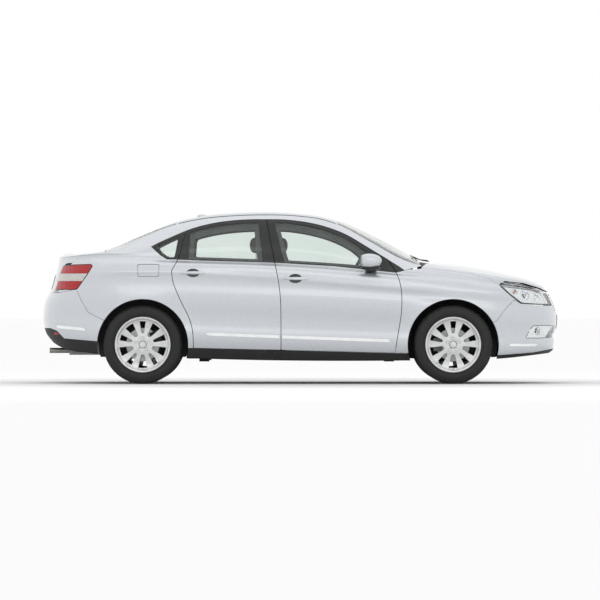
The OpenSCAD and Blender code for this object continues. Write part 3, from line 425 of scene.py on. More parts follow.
def bodyForm(name, wall=(0, 0, 0, 0), drop=0, fill=6, step=30):
    # the whole body as one closed form, its walls standing in by side, post, roof and end thickness
    widths = np.linspace(0.03, 0.975, 26)
    reach = 1 - np.sqrt(1 - widths ** shape["cornerPower"])
    x = np.concatenate([-shape["nose"] + shape["cornerRear"] * reach,
                        np.arange(shape["gridFrom"], shape["gridTo"], step), (shape["nose"] - shape["cornerFront"] * reach)[::-1]])
    sharp = (ease((x - shape["creaseFrom"]) / 150) * ease((shape["creaseTo"] - x) / 250))[:, None]
    half = filledRows(sectionRows(x, wall, drop), fill, sharp).transpose(1, 0, 2)
    near = np.minimum(np.hypot(half[..., 0] - shape["frontAxle"], half[..., 2] - shape["tyreRadius"]),
                      np.hypot(half[..., 0] - shape["rearAxle"], half[..., 2] - shape["tyreRadius"]))
    lip = np.clip((near - shape["archRadius"]) / shape["flareReach"], 0, 1)
    half[..., 1] += np.where((half[..., 1] > 0.7 * shape["halfWidth"]) & (half[..., 2] < 900),
                             shape["flareDepth"] * (1 - lip) ** 2, 0)
    ring = np.concatenate([half * [1, -1, 1], half[:, -2::-1]], axis=1) * mm
    n, m, last = ring.shape[1], half.shape[1] - 1, len(x) - 1
    faces = [(i * n + k, i * n + (k + 1) % n, (i + 1) * n + (k + 1) % n, (i + 1) * n + k)
             for i in range(last) for k in range(n)]
    for k in range(m):
        cap = (k, n - 1 - k, n - 2 - k, k + 1) if k < m - 1 else (k, n - 1 - k, k + 1)
        faces.append(cap)
        faces.append(tuple(last * n + v for v in reversed(cap)))
    mesh = bpy.data.meshes.new(name)
    mesh.from_pydata(ring.reshape(-1, 3).tolist(), [], faces)
    mesh.flip_normals()
    obj = bpy.data.objects.new(name, mesh)
    bpy.context.scene.collection.objects.link(obj)
    return obj


forms = {}


def form(wall, drop=160, fill=6, step=30):
    key = (wall, drop, fill, step)
    if key not in forms:
        forms[key] = bodyForm("form", wall, drop, fill, step)
    return forms[key]


skinForm = form((0, 0, 0, 0), 0)
skinForm.data.shade_smooth()
skinNormals = np.array([v.vector for v in skinForm.data.vertex_normals])
skinForm.data.calc_loop_triangles()
skinTriangles = [tuple(t.vertices) for t in skinForm.data.loop_triangles]
skinPoints = np.array([v.co for v in skinForm.data.vertices])
skinTree = BVHTree.FromPolygons([Vector(p) for p in skinPoints], skinTriangles)


def normalNear(point):
    hit, flat, index, away = skinTree.find_nearest(point)
    a, b, c = skinTriangles[index]
    pa, pb, pc = skinPoints[a], skinPoints[b], skinPoints[c]
    h = np.array(hit)
    whole = np.linalg.norm(np.cross(pb - pa, pc - pa)) + 1e-12
    wa = np.linalg.norm(np.cross(pb - h, pc - h)) / whole
    wb = np.linalg.norm(np.cross(pc - h, pa - h)) / whole
    wc = max(1 - wa - wb, 0)
    n = wa * skinNormals[a] + wb * skinNormals[b] + wc * skinNormals[c]
    return n / (np.linalg.norm(n) + 1e-12), away


def onSide(x, z, side=-1):
    # the skin at a place on the car's side, in metres, and its normal
    hit, flat, index, away = skinTree.ray_cast(Vector((x * mm, side * 1.5, z * mm)), Vector((0, -side, 0)))
    return hit, Vector(normalNear(hit)[0])


def skinShade(obj, inner=None, deep=0.004, bowls=()):
    # faces that follow the skin take its smooth normals, and inner faces take another material
    mesh = obj.data
    mesh.shade_smooth()
    count = len(mesh.vertices)
    points = np.empty(count * 3)
    mesh.vertices.foreach_get("co", points)
    points = points.reshape(-1, 3)
    found = [normalNear(Vector(p)) for p in points]
    near, away = np.array([f[0] for f in found]), np.array([f[1] for f in found])
    normals = np.empty((len(mesh.loops), 3))
    for face in mesh.polygons:
        verts = list(face.vertices)
        agree = near[verts].mean(0) @ np.array(face.normal)
        middle = np.array(face.center)
        value = None
        # a handle cup takes the inner material, a dark grey that is painted shade in the recess, and normals that face
        # into the bowl
        for centre, size in bowls:
            rel = (middle - centre) / size
            inward = -rel / size
            facesIn = inward @ np.array(face.normal) > 0.6 * np.linalg.norm(inward)
            if facesIn and abs(np.linalg.norm(rel) - 1) < 0.12:
                face.material_index = 1 if inner else 0
                value = -(points[verts] - centre) / size ** 2
                value = value / np.linalg.norm(value, axis=1, keepdims=True)
        if value is None:
            value = near[verts] * np.sign(agree) if abs(agree) > 0.8 else np.array(face.normal)
        normals[face.loop_start:face.loop_start + face.loop_total] = value
        if inner is not None and agree < -0.5 and away[verts].mean() > deep:
            face.material_index = 1
    mesh.normals_split_custom_set(normals.tolist())
    return obj


def softened(points, radius=14, sharp=24, steps=4):
    # gentle bends run as one curve and sharp corners get a small radius
    out = []
    for i, b in enumerate(points):
        a, b, c = Vector(points[i - 1]), Vector(b), Vector(points[(i + 1) % len(points)])
        la, lc = (a - b).length, (c - b).length
        turn = math.degrees((b - a).angle(c - b))
        reach = min(la, lc) / 2 if turn < sharp else min(radius, la / 2, lc / 2)
        p, q = b + (a - b) / la * reach, b + (c - b) / lc * reach
        for t in np.linspace(0, 1, steps + 1 if turn > 1 else 2).tolist():
            at = p * (1 - t) ** 2 + b * (2 * t * (1 - t)) + q * t ** 2
            if not out or (at - out[-1]).length > 0.2:
                out.append(at)
    if (out[0] - out[-1]).length < 0.2:
        out.pop()
    return [tuple(p) for p in out]


def grown(points, gap):
    area = sum(points[i - 1][0] * p[1] - p[0] * points[i - 1][1] for i, p in enumerate(points))
    way = 1 if area > 0 else -1
    out = []
    for i, b in enumerate(points):
        a, b, c = Vector(points[i - 1]), Vector(b), Vector(points[(i + 1) % len(points)])
        u, v = (b - a).normalized(), (c - b).normalized()
        n1, n2 = Vector((u.y, -u.x)) * way, Vector((v.y, -v.x)) * way
        out.append(tuple(b + (n1 + n2) * gap / max(1 + n1.dot(n2), 0.35)))
    return out


def shifted(points, dx, dz):
    return [(x + dx, z + dz) for x, z in points]


def prism(points, axis, start, end):
    # an outline in millimetres pushed from start to end along an axis
    bpy.ops.mesh.primitive_circle_add(vertices=len(points), radius=1, fill_type="NGON")
    obj = added("cutter")
    for vertex, (a, b) in zip(obj.data.vertices, points):
        spot = {"x": (start, a, b), "y": (a, start, b), "z": (a, b, start)}[axis]
        vertex.co = Vector(spot) * mm
    push = Vector({"x": (1, 0, 0), "y": (0, 1, 0), "z": (0, 0, 1)}[axis]) * (end - start) * mm
    bpy.ops.object.mode_set(mode="EDIT")
    bpy.ops.mesh.select_all(action="SELECT")
    bpy.ops.mesh.extrude_region_move(TRANSFORM_OT_translate={"value": push})
    bpy.ops.mesh.select_all(action="SELECT")
    bpy.ops.mesh.normals_make_consistent(inside=False)
    bpy.ops.object.mode_set(mode="OBJECT")
    return obj


def across(points, near=0, side=-1):
    # side -1 is the right half, 1 the left, 0 both
    if side == 0:
        return prism(points, "y", -1400, 1400)
    return prism(points, "y", -1400, -near) if side < 0 else prism(points, "y", near, 1400)


def around(name, gap, near=0, side=-1):
    # the cutter of a named outline with a gap round it
    return across(grown(outlines[name], gap), near, side)


def upright(points):
    return prism(points, "z", 0, 3000)


def ahead(points, more=0):
    # a front-view outline pushed through the nose
    return prism(points, "x", 1900 - more, 2800 + more)


def box(x0, x1, z0, z1):
    return [(x0, z0), (x1, z0), (x1, z1), (x0, z1)]


def ring(count, wide, high=None, x=0, z=0):
    # a round or oval outline
    angles = np.linspace(0, 2 * math.pi, count + 1)[:-1]
    return [(x + wide * math.cos(a), z + (high or wide) * math.sin(a)) for a in angles]


def boolean(obj, cutter, how, keep=False):
    applied(obj, "BOOLEAN", object=cutter, operation=how, solver="MANIFOLD")
    if not keep:
        removed(cutter)
    return obj


def cut(obj, *cutters):
    for cutter in cutters:
        boolean(obj, cutter, "DIFFERENCE")
    return obj


def within(obj, *cutters):
    for cutter in cutters:
        boolean(obj, cutter, "INTERSECT")
    return obj


def shell(name, wall, *limits, under=0, fill=4, step=45):
    # a wall under the skin, or under another wall, inside the given limits; both in millimetres
    wall, under = ((value,) * 4 if isinstance(value, int) else value for value in (wall, under))
    outer = skinForm if not any(under) else form(under, 40)
    obj = within(copied(outer, name), *limits)
    inner = tuple(w + u for w, u in zip(wall, under))
    return boolean(obj, form(inner, 160, fill, step), "DIFFERENCE", keep=True)


def archCutters():
    out = []
    for axle in (shape["frontAxle"], shape["rearAxle"]):
        bpy.ops.mesh.primitive_cylinder_add(vertices=160, radius=shape["archRadius"] * mm, depth=3,
                                            location=(axle * mm, 0, shape["tyreRadius"] * mm),
                                            rotation=(math.pi / 2, 0, 0))
        out.append(settle(added("arch")))
    return out


def halfRoof(x):
    x = np.array([float(x)])
    return float(lineAt("ditchWidth", x)[0] * lineAt("planTaper", x)[0])


def halfBonnet(x):
    x = np.array([float(x)])
    return float((lineAt("beltWidth", x) * lineAt("planTaper", x)
                  - shape["tumblehome"] * (lineAt("doorTop", x) - lineAt("belt", x)))[0]) - 4


def strip(x0, x1, half, count=24, near=0):
    xs = np.linspace(x0, x1, count + 1)
    return [(x, half(x) + near) for x in xs] + [(x, -half(x) - near) for x in xs[::-1]]


def topEdge(x0, x1, count):
    xs = np.linspace(x0, x1, count + 1)[1:-1]
    return list(zip(xs, lineAt("doorTop", xs)))


# Shut lines, windows and panel edges in side view, as in the frame.
bLine = [(-302, 1475), (-228, 1093), (-194, 936), (-172, 753), (-170, 476), (-170, 304)]
frontLine = [(786, 1118), (868, 1000), (907, 876), (915, 749), (908, 612), (878, 443), (852, 278)]
rearLine = [(-1028, 1373), (-1090, 1123), (-1152, 1015), (-1143, 919), (-1106, 825), (-1052, 708), (-990, 590),
            (-960, 476), (-955, 322)]
outlines = {
    "frontDoor": bLine[::-1] + topEdge(-302, 786, 16) + frontLine,
    "rearDoor": rearLine[::-1] + topEdge(-1028, -302, 12) + bLine,
    "frontWindow": [(-141, 1092), (-233, 1450), (-120, 1449), (60, 1425), (212, 1387), (330, 1345), (430, 1298),
                    (548, 1226), (640, 1116), (700, 1030), (298, 1066)],
    "rearWindow": [(-1004, 1120), (-988, 1360), (-920, 1382), (-838, 1402), (-740, 1422), (-640, 1436),
                   (-500, 1447), (-372, 1450), (-333, 1100), (-600, 1107)],
    "quarterWindow": [(-1290, 1228), (-1210, 1268), (-1096, 1320), (-1130, 1140), (-1200, 1140), (-1240, 1170)],
    "side": [(-2400, 1650), (-2400, 326), (-955, 324), (840, 277), (840, 1003), (868, 1003), (1087, 1058),
             (1087, 1650)],
    "wing": [(700, 279), (2400, 279), (2400, 700), (1990, 800), (1835, 930), (1835, 1300), (1089, 1300),
             (1089, 1055), (868, 1000), (700, 1000)],
    "headlamp": [(1787, 888), (1829, 916), (2010, 896), (2169, 848), (2400, 760), (2400, 735), (2245, 706),
                 (2112, 710), (1988, 720), (1880, 800)],
    "fog": [(2026, 412), (2090, 520), (2262, 526), (2400, 500), (2400, 440), (2214, 410)],
    "tailLamp": [(-2400, 1048), (-2166, 1050), (-2085, 1068), (-1874, 1074), (-1862, 1058), (-1906, 985),
                 (-2004, 847), (-2093, 844), (-2400, 852)],
    "flap": [(-1452, 964), (-1268, 964), (-1264, 1072), (-1456, 1072)],
    "frontBumper": [(2500, 724), (2245, 702), (2112, 706), (1988, 716), (1925, 752), (1860, 690), (1760, 560),
                    (1640, 520), (1640, 100), (2500, 100)],
    "rearBumper": [(-2500, 800), (-2200, 812), (-2060, 838), (-2004, 840), (-1960, 740), (-1900, 640),
                   (-1740, 560), (-1660, 520), (-1660, 100), (-2500, 100)],
    "sill": [(-1100, 100), (-1100, 322), (-955, 321), (852, 274), (1000, 271), (1000, 100)],
    "bonnetSide": [(1000, 850), (1832, 850), (1832, 921), (2010, 903), (2169, 857), (2245, 822), (2500, 818),
                   (2500, 1600), (1000, 1600)],
    "windowBand": [(942, 1016), (864, 999), (514, 1036), (298, 1058), (-141, 1084), (-350, 1093), (-882, 1108),
                   (-1099, 1117), (-1195, 1119), (-1256, 1158), (-1336, 1232)] + topEdge(-1336, 942, 40),
}
softEdges = {"frontWindow": 14, "rearWindow": 14, "quarterWindow": 12, "headlamp": 16, "fog": 16, "tailLamp": 18,
             "flap": 14}
for outline, radius in softEdges.items():
    outlines[outline] = softened(outlines[outline], radius)
outlines["frontDoor"] = softened(outlines["frontDoor"], 12, 20)
outlines["rearDoor"] = softened(outlines["rearDoor"], 12, 20)
lidFace = [(-512, 808), (512, 808), (512, 1052), (560, 1084), (900, 1084), (900, 1500), (-900, 1500),
           (-900, 1084), (-560, 1084), (-512, 1052)]
grilleFace = [(-452, 815), (-430, 700), (-370, 628), (370, 628), (430, 700), (452, 815)]
intakeFace = [(-430, 420), (-380, 330), (380, 330), (430, 420), (380, 470), (-380, 470)]
fits = {"gap": 6, "seam": 3, "pane": 1, "hem": 8, "hemWidth": 22, "screenBase": 1078, "rearScreenBase": -1752,
        "roofFront": 345, "roofRear": -1118, "bumperWall": 44,
        "lampInner": 480, "tailLampInner": 518, "wallDeep": 0.02}
panelWall, lidWall = (70, 38, 26, 70), (40, 38, 26, 40)
# how finely a wall's grid follows the skin: curve points between rows, and millimetres along the car
fine, rough = {"fill": 6, "step": 30}, {"fill": 3, "step": 45}
bonnetPlan = ([(x, halfBonnet(x)) for x in range(1110, 1831, 60)] + [(1832, 1850), (2500, 1850), (2500, -1850),
              (1832, -1850)] + [(x, -halfBonnet(x)) for x in range(1830, 1109, -60)]
              + [(1086 + 130 * (1 - w * w), w * halfBonnet(1086)) for w in np.linspace(-1, 1, 25)])


def windowBand():
    return across(grown(outlines["windowBand"], 2), 300)


def splitBand(obj, name):
    # the black window surround comes off the painted panel
    dark = within(copied(obj, name), windowBand())
    return cut(obj, windowBand()), dark


def twoSides(obj, body, material, inner, replaces, bowls=()):
    # finishes a right-hand piece and its left-hand twin
    dressed(obj, *filter(None, (material, inner)))
    twin = mirroredTwin(obj, obj.name.replace("right", "left"))
    for piece, word, flip in ((obj, "right", [1, 1, 1]), (twin, "left", [1, -1, 1])):
        skinShade(piece, inner, bowls=[(c * np.array(flip), size) for c, size in bowls])
        place(piece, body.format(word), replaces=[r.format(word) for r in replaces])


def scaledBall(centre, size, name="ball", segments=48):
    bpy.ops.mesh.primitive_uv_sphere_add(segments=segments, ring_count=segments // 2, radius=1, location=centre)
    ball = added(name)
    ball.scale = size
    return settle(ball)


handleSpots = {"front": (-42, 945), "rear": (-960, 997)}
cupSize = np.array([0.060, 0.022, 0.043])


def rocker(width, height):
    # the box beam under the doors
    bpy.ops.mesh.primitive_cube_add(size=1, location=(-0.025, -0.766, 0.286))
    beam = added("rocker")
    beam.scale = (1.97, width, height)
    return settle(beam)


def bodySides():
    side = shell("body_side_right", panelWall, across(outlines["side"], 500))
    front, rear = fits["roofFront"], fits["roofRear"]
    cut(side, around("frontDoor", fits["gap"] / 2), around("rearDoor", fits["gap"] / 2),
        around("rearBumper", fits["seam"]), around("tailLamp", fits["seam"]), around("quarterWindow", fits["seam"]),
        upright(strip(rear, front, halfRoof, near=1)), upright(strip(front, 1200, halfRoof)),
        upright(strip(-2500, rear, halfRoof, near=3)), *archCutters())
    boolean(side, cut(rocker(0.062, 0.08), *archCutters()), "UNION")
    side, band = splitBand(side, "window_surround_right")
    left = mirroredTwin(side, "body_side_left")
    leftBand = mirroredTwin(band, "window_surround_left")
    pocket = boolean(around("flap", fits["gap"] / 2), form((24, 24, 24, 24), 160, 4, 45), "DIFFERENCE", keep=True)
    cut(side, pocket)
    for piece, outer, node, slotName in (
            (side, paint, ["body_side_right"], "body_paint"), (left, paint, ["body_side_left"], "body_paint"),
            (band, satinBlack, [], "black_trim"), (leftBand, satinBlack, [], "black_trim")):
        skinShade(dressed(piece, outer, greyTrimAndCupShade), greyTrimAndCupShade, fits["wallDeep"])
        place(piece, "body", replaces=node)


def centrePosts():
    post = shell("centre_post_right", 38,
                 across([(-130, 300), (-270, 1490), (-352, 1490), (-290, 300)], 540),
                 under=(86, 44, 32, 70), **rough)
    twoSides(post, "body", greyTrimAndCupShade, None, [])


def roofPanel():
    roof = shell("roof", panelWall, upright(strip(fits["roofRear"], fits["roofFront"], halfRoof)))
    skinShade(dressed(roof, paint, headlining), headlining, 0.015)
    place(roof, "body", replaces=["roof"])
    # rubber mouldings in the roof's two seams
    mould = shell("roof_mouldings", 3, upright(strip(-1090, 320, halfRoof, near=5)), under=-1, **fine)
    cut(mould, upright(strip(-1200, 400, halfRoof, near=-5)))
    skinShade(mould)
    place(mould, "body", satinBlack)


def frontWings():
    wing = shell("front_wings", panelWall, across(outlines["wing"], 600))
    cut(wing, around("frontDoor", fits["gap"] / 2), around("frontBumper", fits["seam"]),
        around("headlamp", fits["seam"]), upright(strip(900, 1900, halfBonnet, near=fits["gap"] / 2)), *archCutters())
    wings = joined([wing, mirroredTwin(wing, "other")], "front_wings")
    skinShade(dressed(wings, paint, roughBlack), roughBlack, fits["wallDeep"])
    place(wings, "body", replaces=["front_wings"])


def bumpers():
    front = shell("front_bumper", fits["bumperWall"], across(outlines["frontBumper"], side=0))
    for side in (-1, 1):
        cut(front, around("fog", fits["seam"], 400, side))
    cut(front, ahead(grown(grilleFace, fits["seam"])), ahead(intakeFace), *archCutters())
    lip = [(1000, 100), (1000, 259), (1640, 259), (1788, 259), (2100, 282), (2270, 312), (2500, 330), (2500, 100)]
    frontLip = within(copied(front, "front_bumper_lip"), across(lip, side=0))
    cut(front, across(lip, side=0))
    rear = shell("rear_bumper", fits["bumperWall"], across(outlines["rearBumper"], side=0))
    cut(rear, *archCutters())
    apron = [(-1500, 100), (-1500, 352), (-1825, 384), (-2120, 408), (-2190, 478), (-2250, 500), (-2500, 505),
             (-2500, 100)]
    rearApron = within(copied(rear, "rear_bumper_apron"), across(apron, side=0))
    cut(rear, across(apron, side=0))
    for piece, node, outerSkin, slotName in (
            (front, "front_bumper", paint, "body_paint"), (frontLip, None, roughBlack, "black_trim"),
            (rear, "rear_bumper", paint, "body_paint"), (rearApron, None, roughBlack, "black_trim")):
        skinShade(dressed(piece, outerSkin, roughBlack), roughBlack, fits["wallDeep"])
        place(piece, "body", replaces=[node] if node else [])


def wheelHouses():
    # inner walls that close the arches behind the wheels, clear of the steered tyres
    for word, axle, y in (("front", shape["frontAxle"], 478), ("rear", shape["rearAxle"], 640)):
        outline = [(axle + 402 * math.cos(a), max(shape["tyreRadius"] + 402 * math.sin(a), 240))
                   for a in np.linspace(math.radians(-18), math.radians(198), 49)]
        wall = prism(outline, "y", -y, -y + 5)
        wall.name = wall.data.name = word + "_wheel_house"
        applied(wall, "BEVEL", width=0.002, segments=2, limit_method="ANGLE")
        other = mirroredTwin(wall, "other")
        place(smooth(joined([wall, other], word + "_wheel_house")), "body", roughBlack)


def sillCovers():
    cover = shell("sill_covers", 64, across(outlines["sill"], 500))
    cut(cover, rocker(0.066, 0.084), *archCutters())
    covers = joined([cover, mirroredTwin(cover, "other")], "sill_covers")
    skinShade(covers)
    place(covers, "body", roughBlack, ["sill_covers"])


def lids():
    gap, inset = fits["gap"], -fits["gap"] / 2
    bonnet = shell("bonnet", (70, 38, 26, 40), upright(grown(bonnetPlan, inset)), around("bonnetSide", inset, side=0))
    cut(bonnet, around("headlamp", gap, side=0))
    boot = shell("boot_lid", lidWall, upright(grown(strip(-2500, fits["rearScreenBase"] + inset, halfRoof), inset)),
                 prism(grown(lidFace, inset), "x", -4000, 2000))
    cut(boot, around("rearBumper", gap, side=0))
    for side in (-1, 1):
        cut(boot, around("tailLamp", gap, fits["tailLampInner"] - fits["seam"], side))
    flap = shell("fuel_flap", fits["hem"], around("flap", inset + 1.5), **fine)
    for piece, body, under in ((bonnet, "bonnet", underSteel), (boot, "boot_lid", greyTrimAndCupShade),
                               (flap, "fuel_flap", paint)):
        skinShade(dressed(piece, paint, under), under)
        place(piece, body, replaces=[body])


def doors():
    for word in ("front", "rear"):
        edge = grown(outlines[word + "Door"], -fits["gap"] / 2)
        skin = shell("skin", fits["hem"], across(edge), **fine)
        body = shell(word + "_door_right", tuple(w - fits["hem"] // 2 for w in panelWall),
                     across(shifted(edge, fits["hemWidth"], 0)), across(shifted(edge, -fits["hemWidth"], 0)),
                     under=fits["hem"] // 2)
        boolean(body, skin, "UNION")
        cut(body, across(outlines[word + "Window"]))
        body, band = splitBand(body, word + "_door_frame_right")
        x, z = handleSpots[word]
        hit, facing = onSide(x, z)
        # the handle cup cut into the door is coloured with the dark grey inner material as painted shade
        cup = scaledBall(hit, cupSize)
        cut(body, cup)
        bowls = [(np.array(hit), cupSize)]
        twoSides(body, word + "_door_{}", paint, greyTrimAndCupShade, [word + "_door_{}"], bowls)
        twoSides(band, word + "_door_{}", satinBlack, greyTrimAndCupShade, [])


def panes():
    wall, under = 5, 3
    screens = [strip(fits["roofFront"], fits["screenBase"], halfRoof),
               strip(fits["rearScreenBase"], fits["roofRear"], halfRoof)]
    for word in ("front", "rear"):
        pane = shell(word + "_glass_right", wall, around(word + "Window", -fits["pane"]), under=under, **fine)
        twoSides(pane, word + "_door_{}", glass, None, [word + "_glass_{}"])
    # the black border printed on the inside of each screen
    frits = [cut(shell("frit", 2, upright(grown(screen, -2)), under=9, **fine),
                 upright(softened(grown(screen, -46), 60, 10))) for screen in screens]
    place(skinShade(joined(frits, "screen_borders")), "body", satinBlack)
    for word in ("front", "rear"):
        window = outlines[word + "Window"]
        trim = shell(word + "_window_trim_right", 5, across(grown(window, 6)), under=(40, 34, 30, 40))
        cut(trim, across(shifted(softened(grown(window, -44), 50, 10), 0, -26)))
        twoSides(trim, word + "_door_{}", greyTrimAndCupShade, None, [])
    parts = [shell("screen", wall, upright(grown(screen, -fits["pane"])), under=under, **fine)
             for screen in screens]
    quarter = shell("quarter", wall, around("quarterWindow", 2), under=under, **fine)
    parts += [quarter, mirroredTwin(quarter, "other")]
    windows = skinShade(joined([dressed(part) for part in parts], "fixed_windows"))
    place(windows, "body", glass, ["fixed_windows"])


bodySides()
centrePosts()
roofPanel()
frontWings()
bumpers()
wheelHouses()
sillCovers()
lids()
doors()
panes()
print("body panels done")


wheelSize = {"tyreHalf": 112.5, "rimRadius": 251, "rimHalf": 98, "splay": 16, "hubHole": 19,
             "boltRadius": 56, "boltHole": 15, "treadBlocks": 216, "blockDepth": 5}


def spunProfile(name, profile, steps):
    # a closed outline of [radius, width] in millimetres, spun round the wheel's own Y axis
    bpy.ops.mesh.primitive_circle_add(vertices=len(profile), radius=1, fill_type="NOTHING")
    obj = added(name)
    for vertex, (r, w) in zip(obj.data.vertices, profile):
        vertex.co = Vector((0, -w, r)) * mm
    bpy.ops.object.mode_set(mode="EDIT")
    bpy.ops.mesh.select_all(action="SELECT")
    bpy.ops.mesh.spin(steps=steps, angle=2 * math.pi, center=(0, 0, 0), axis=(0, 1, 0))
    bpy.ops.mesh.select_all(action="SELECT")
    bpy.ops.mesh.remove_doubles(threshold=0.00005)
    bpy.ops.mesh.normals_make_consistent(inside=False)
    bpy.ops.object.mode_set(mode="OBJECT")
    return obj


def tyreMaster():
    t, w, b, f = shape["tyreRadius"], wheelSize["tyreHalf"], wheelSize["rimRadius"], wheelSize["rimHalf"]
    half = [(b - 14, f - 26), (b - 14, f - 9), (b, f - 9), (b + 3, f - 1), (b + 9, f + 3), (b + 12, f + 2),
            (b + 20, f + 7), (b + 24, f + 10), (b + 27, f + 10), (b + 36, w - 1), (b + 48, w), (b + 51, w - 1), (b + 66, w - 2),
            (t - 26, w - 6), (t - 21, w - 7), (t - 19, w - 10), (t - 11, w - 13), (t - 6, w - 18), (t - 3, w - 26),
            (t - 1.5, w - 38), (t - 1.5, w - 39), (t - 8, w - 40), (t - 8, w - 48), (t - 1, w - 49), (t, w - 50),
            (t, 22), (t, 21), (t - 7, 20), (t - 7, 12), (t, 11), (t, 10)]
    inner = [(t - 14, 0), (t - 14, w - 44), (t - 20, w - 24), (b + 46, w - 12), (b + 14, f - 18)]
    profile = half + [(r, -v) for r, v in reversed(half)] + [(r, -v) for r, v in reversed(inner)] + inner[1:]
    tyre = spunProfile("tyre", profile, wheelSize["treadBlocks"])
    # shoulder blocks: every fourth slice of the tread's edge sinks to a cross groove
    mesh = tyre.data
    for vertex in mesh.vertices:
        r, sideways = math.hypot(vertex.co.x, vertex.co.z) / mm, abs(vertex.co.y) / mm
        turn = round(math.atan2(vertex.co.x, vertex.co.z) / (2 * math.pi) * wheelSize["treadBlocks"])
        if r > t - 12.5 and sideways > w - 39.5 and turn % 4 == 0:
            vertex.co.x *= (r - wheelSize["blockDepth"]) / r
            vertex.co.z *= (r - wheelSize["blockDepth"]) / r
    return smooth(tyre, 30)


def rimMaster():
    f, b = wheelSize["rimHalf"], wheelSize["rimRadius"]
    front = [(0, 66), (33, 66), (35, 77), (68, 78), (84, 75), (120, 71), (160, 71), (195, 75), (222, 83), (229, 89),
             (233, 95), (240, 98), (248, 98), (b, 95)]
    back = [(b, f - 8), (b - 15, f - 8), (b - 15, f - 40), (b - 34, f - 70), (b - 34, -f + 44), (b - 15, -f + 26),
            (b - 15, -f + 8), (b, -f + 8), (b, -f), (b - 8, -f), (b - 24, -f + 8), (b - 24, -f + 22), (b - 44, -f + 42),
            (b - 44, f - 74), (b - 40, f - 50), (b - 46, f - 40), (150, 60), (84, 58), (73, 42), (0, 42)]
    rim = spunProfile("rim", front + back, 144)
    cut(rim, prism(ring(32, wheelSize["hubHole"]), "y", -400, 400))

    boltSpots = [(wheelSize["boltRadius"] * math.cos(math.radians(90 + 72 * k)),
                  wheelSize["boltRadius"] * math.sin(math.radians(90 + 72 * k))) for k in range(5)]

    def spokeHalf(r):
        return 19 + 11 * ease((r - 110) / 110) - 2 * ease((150 - r) / 60)

    for k in range(5):
        for between, first, inset in ((0, 100, 3), (36, 88, 6)):
            middle = 90 + 72 * k + between
            halfAngle = wheelSize["splay"] if between == 0 else 36 - wheelSize["splay"]
            radii = np.linspace(first, 224, 9)
            halves = [max(r * math.sin(math.radians(halfAngle)) - spokeHalf(r), inset) for r in radii]
            edge = list(zip(radii, halves))
            arc = [(math.sqrt(226 ** 2 - y * y), y) for y in np.linspace(halves[-1], -halves[-1], 9)]
            outline = edge[:-1] + arc + [(r, -h) for r, h in reversed(edge[:-1])]
            c, s = math.cos(math.radians(middle)), math.sin(math.radians(middle))
            turned = [(x * c - y * s, x * s + y * c) for x, y in softened(outline, 9, 30)]
            cut(rim, prism(turned, "y", -300, -45))
        x, z = boltSpots[k]
        cut(rim, prism(ring(24, wheelSize["boltHole"], None, x, z), "y", -300, -62))
    applied(rim, "BEVEL", width=0.0018, segments=2, limit_method="ANGLE", angle_limit=math.radians(40),
            use_clamp_overlap=True)
    smooth(rim, 30)
    bolts = []
    for x, z in boltSpots:
        bpy.ops.mesh.primitive_cylinder_add(vertices=6, radius=0.0085, depth=0.02, rotation=(math.pi / 2, 0, 0),
                                            location=(x * mm, -0.064, z * mm))
        bolts.append(applied(settle(added("bolt")), "BEVEL", width=0.0012, segments=2))
    capProfile = [(0, 75), (0, 81), (14, 80.5), (22, 79.5), (23.5, 80.6), (27, 80.4), (30, 78.5), (31, 75)]
    cap = smooth(spunProfile("cap", capProfile, 64), 40)
    valve = spunProfile("valve", [(0, 0), (3.4, 0), (3.4, 18), (2.4, 20), (0, 20)], 16)
    valve.data.transform(Matrix.Translation((0, -0.074, -0.219)))
    for piece, material in [(rim, alloy), (cap, alloy), (valve, rubber)] + [(bolt, brightChrome) for bolt in bolts]:
        dressed(piece, material)
    return joined([rim, cap, valve] + bolts, "rim")


def discMaster():
    profile = [(18.6, 13), (18.6, 42), (70, 42), (72, 40), (72, 38.5), (76, 38), (149, 38), (150, 37), (150, 31),
               (146, 30), (146, 22), (150, 21), (150, 14), (149, 13)]
    return smooth(spunProfile("disc", profile, 96), 30)


def wheels():
    masters = {"tyre": (tyreMaster(), rubber, "tyre"), "rim": (rimMaster(), None, "alloy"),
               "disc": (discMaster(), discSteel, "disc_steel")}
    for end in ("front", "rear"):
        for side, word in ((-1, "right"), (1, "left")):
            low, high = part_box(end + "_" + word + "_tyre")
            centre = (low + high) / 2
            for part, (master, material, slotName) in masters.items():
                name = end + "_" + word + "_" + part
                piece = copied(master, name + "_detail") if side < 0 else mirroredTwin(master, name + "_detail")
                piece.data.transform(Matrix.Translation(centre))
                place(piece, end + "_" + word + "_wheel", material, [name])
    removed(*[m[0] for m in masters.values()])


wheels()
print("wheels done")


def band(points, wall, under, near=0, **grid):
    # a thin layer that follows the skin inside a side-view outline; a negative under stands proud
    return shell("band", wall, across(points, near), under=under, **(grid or fine))


def bothSides(parts, name, body="body", replaces=(), split=True):
    # joins right-hand parts, each with its own material, and makes the left-hand twin
    dressedParts = [dressed(part, material) for part, material in parts]
    right = skinShade(joined(dressedParts, name + ("_right" if split else "")))
    left = mirroredTwin(right, name + "_left")
    if not split:
        both = joined([right, left], name)
        return place(both, body, replaces=replaces)
    for piece, word in ((right, "right"), (left, "left")):
        place(piece, body.format(word), replaces=[r.format(word) for r in replaces])


frontLampSizes = {"bowls": ((1936, 838, 30, amberLens), (2040, 812, 44, clearLens), (2146, 782, 40, clearLens)),
                  "bowlDeep": 0.020, "bulbDeep": 0.034, "bulb": 0.011, "fogBowl": 0.036, "fogDeep": 0.018,
                  "fogBulbDeep": 0.030, "fogBulb": 0.010}
tailLampSizes = {"bowls": ((-2120, 1024, 30), (-2040, 1024, 26), (-2215, 958, 27), (-2130, 958, 24), (-2130, 886, 26)),
                 "bowlDeep": 0.014, "bulbDeep": 0.024, "bulb": 0.008}


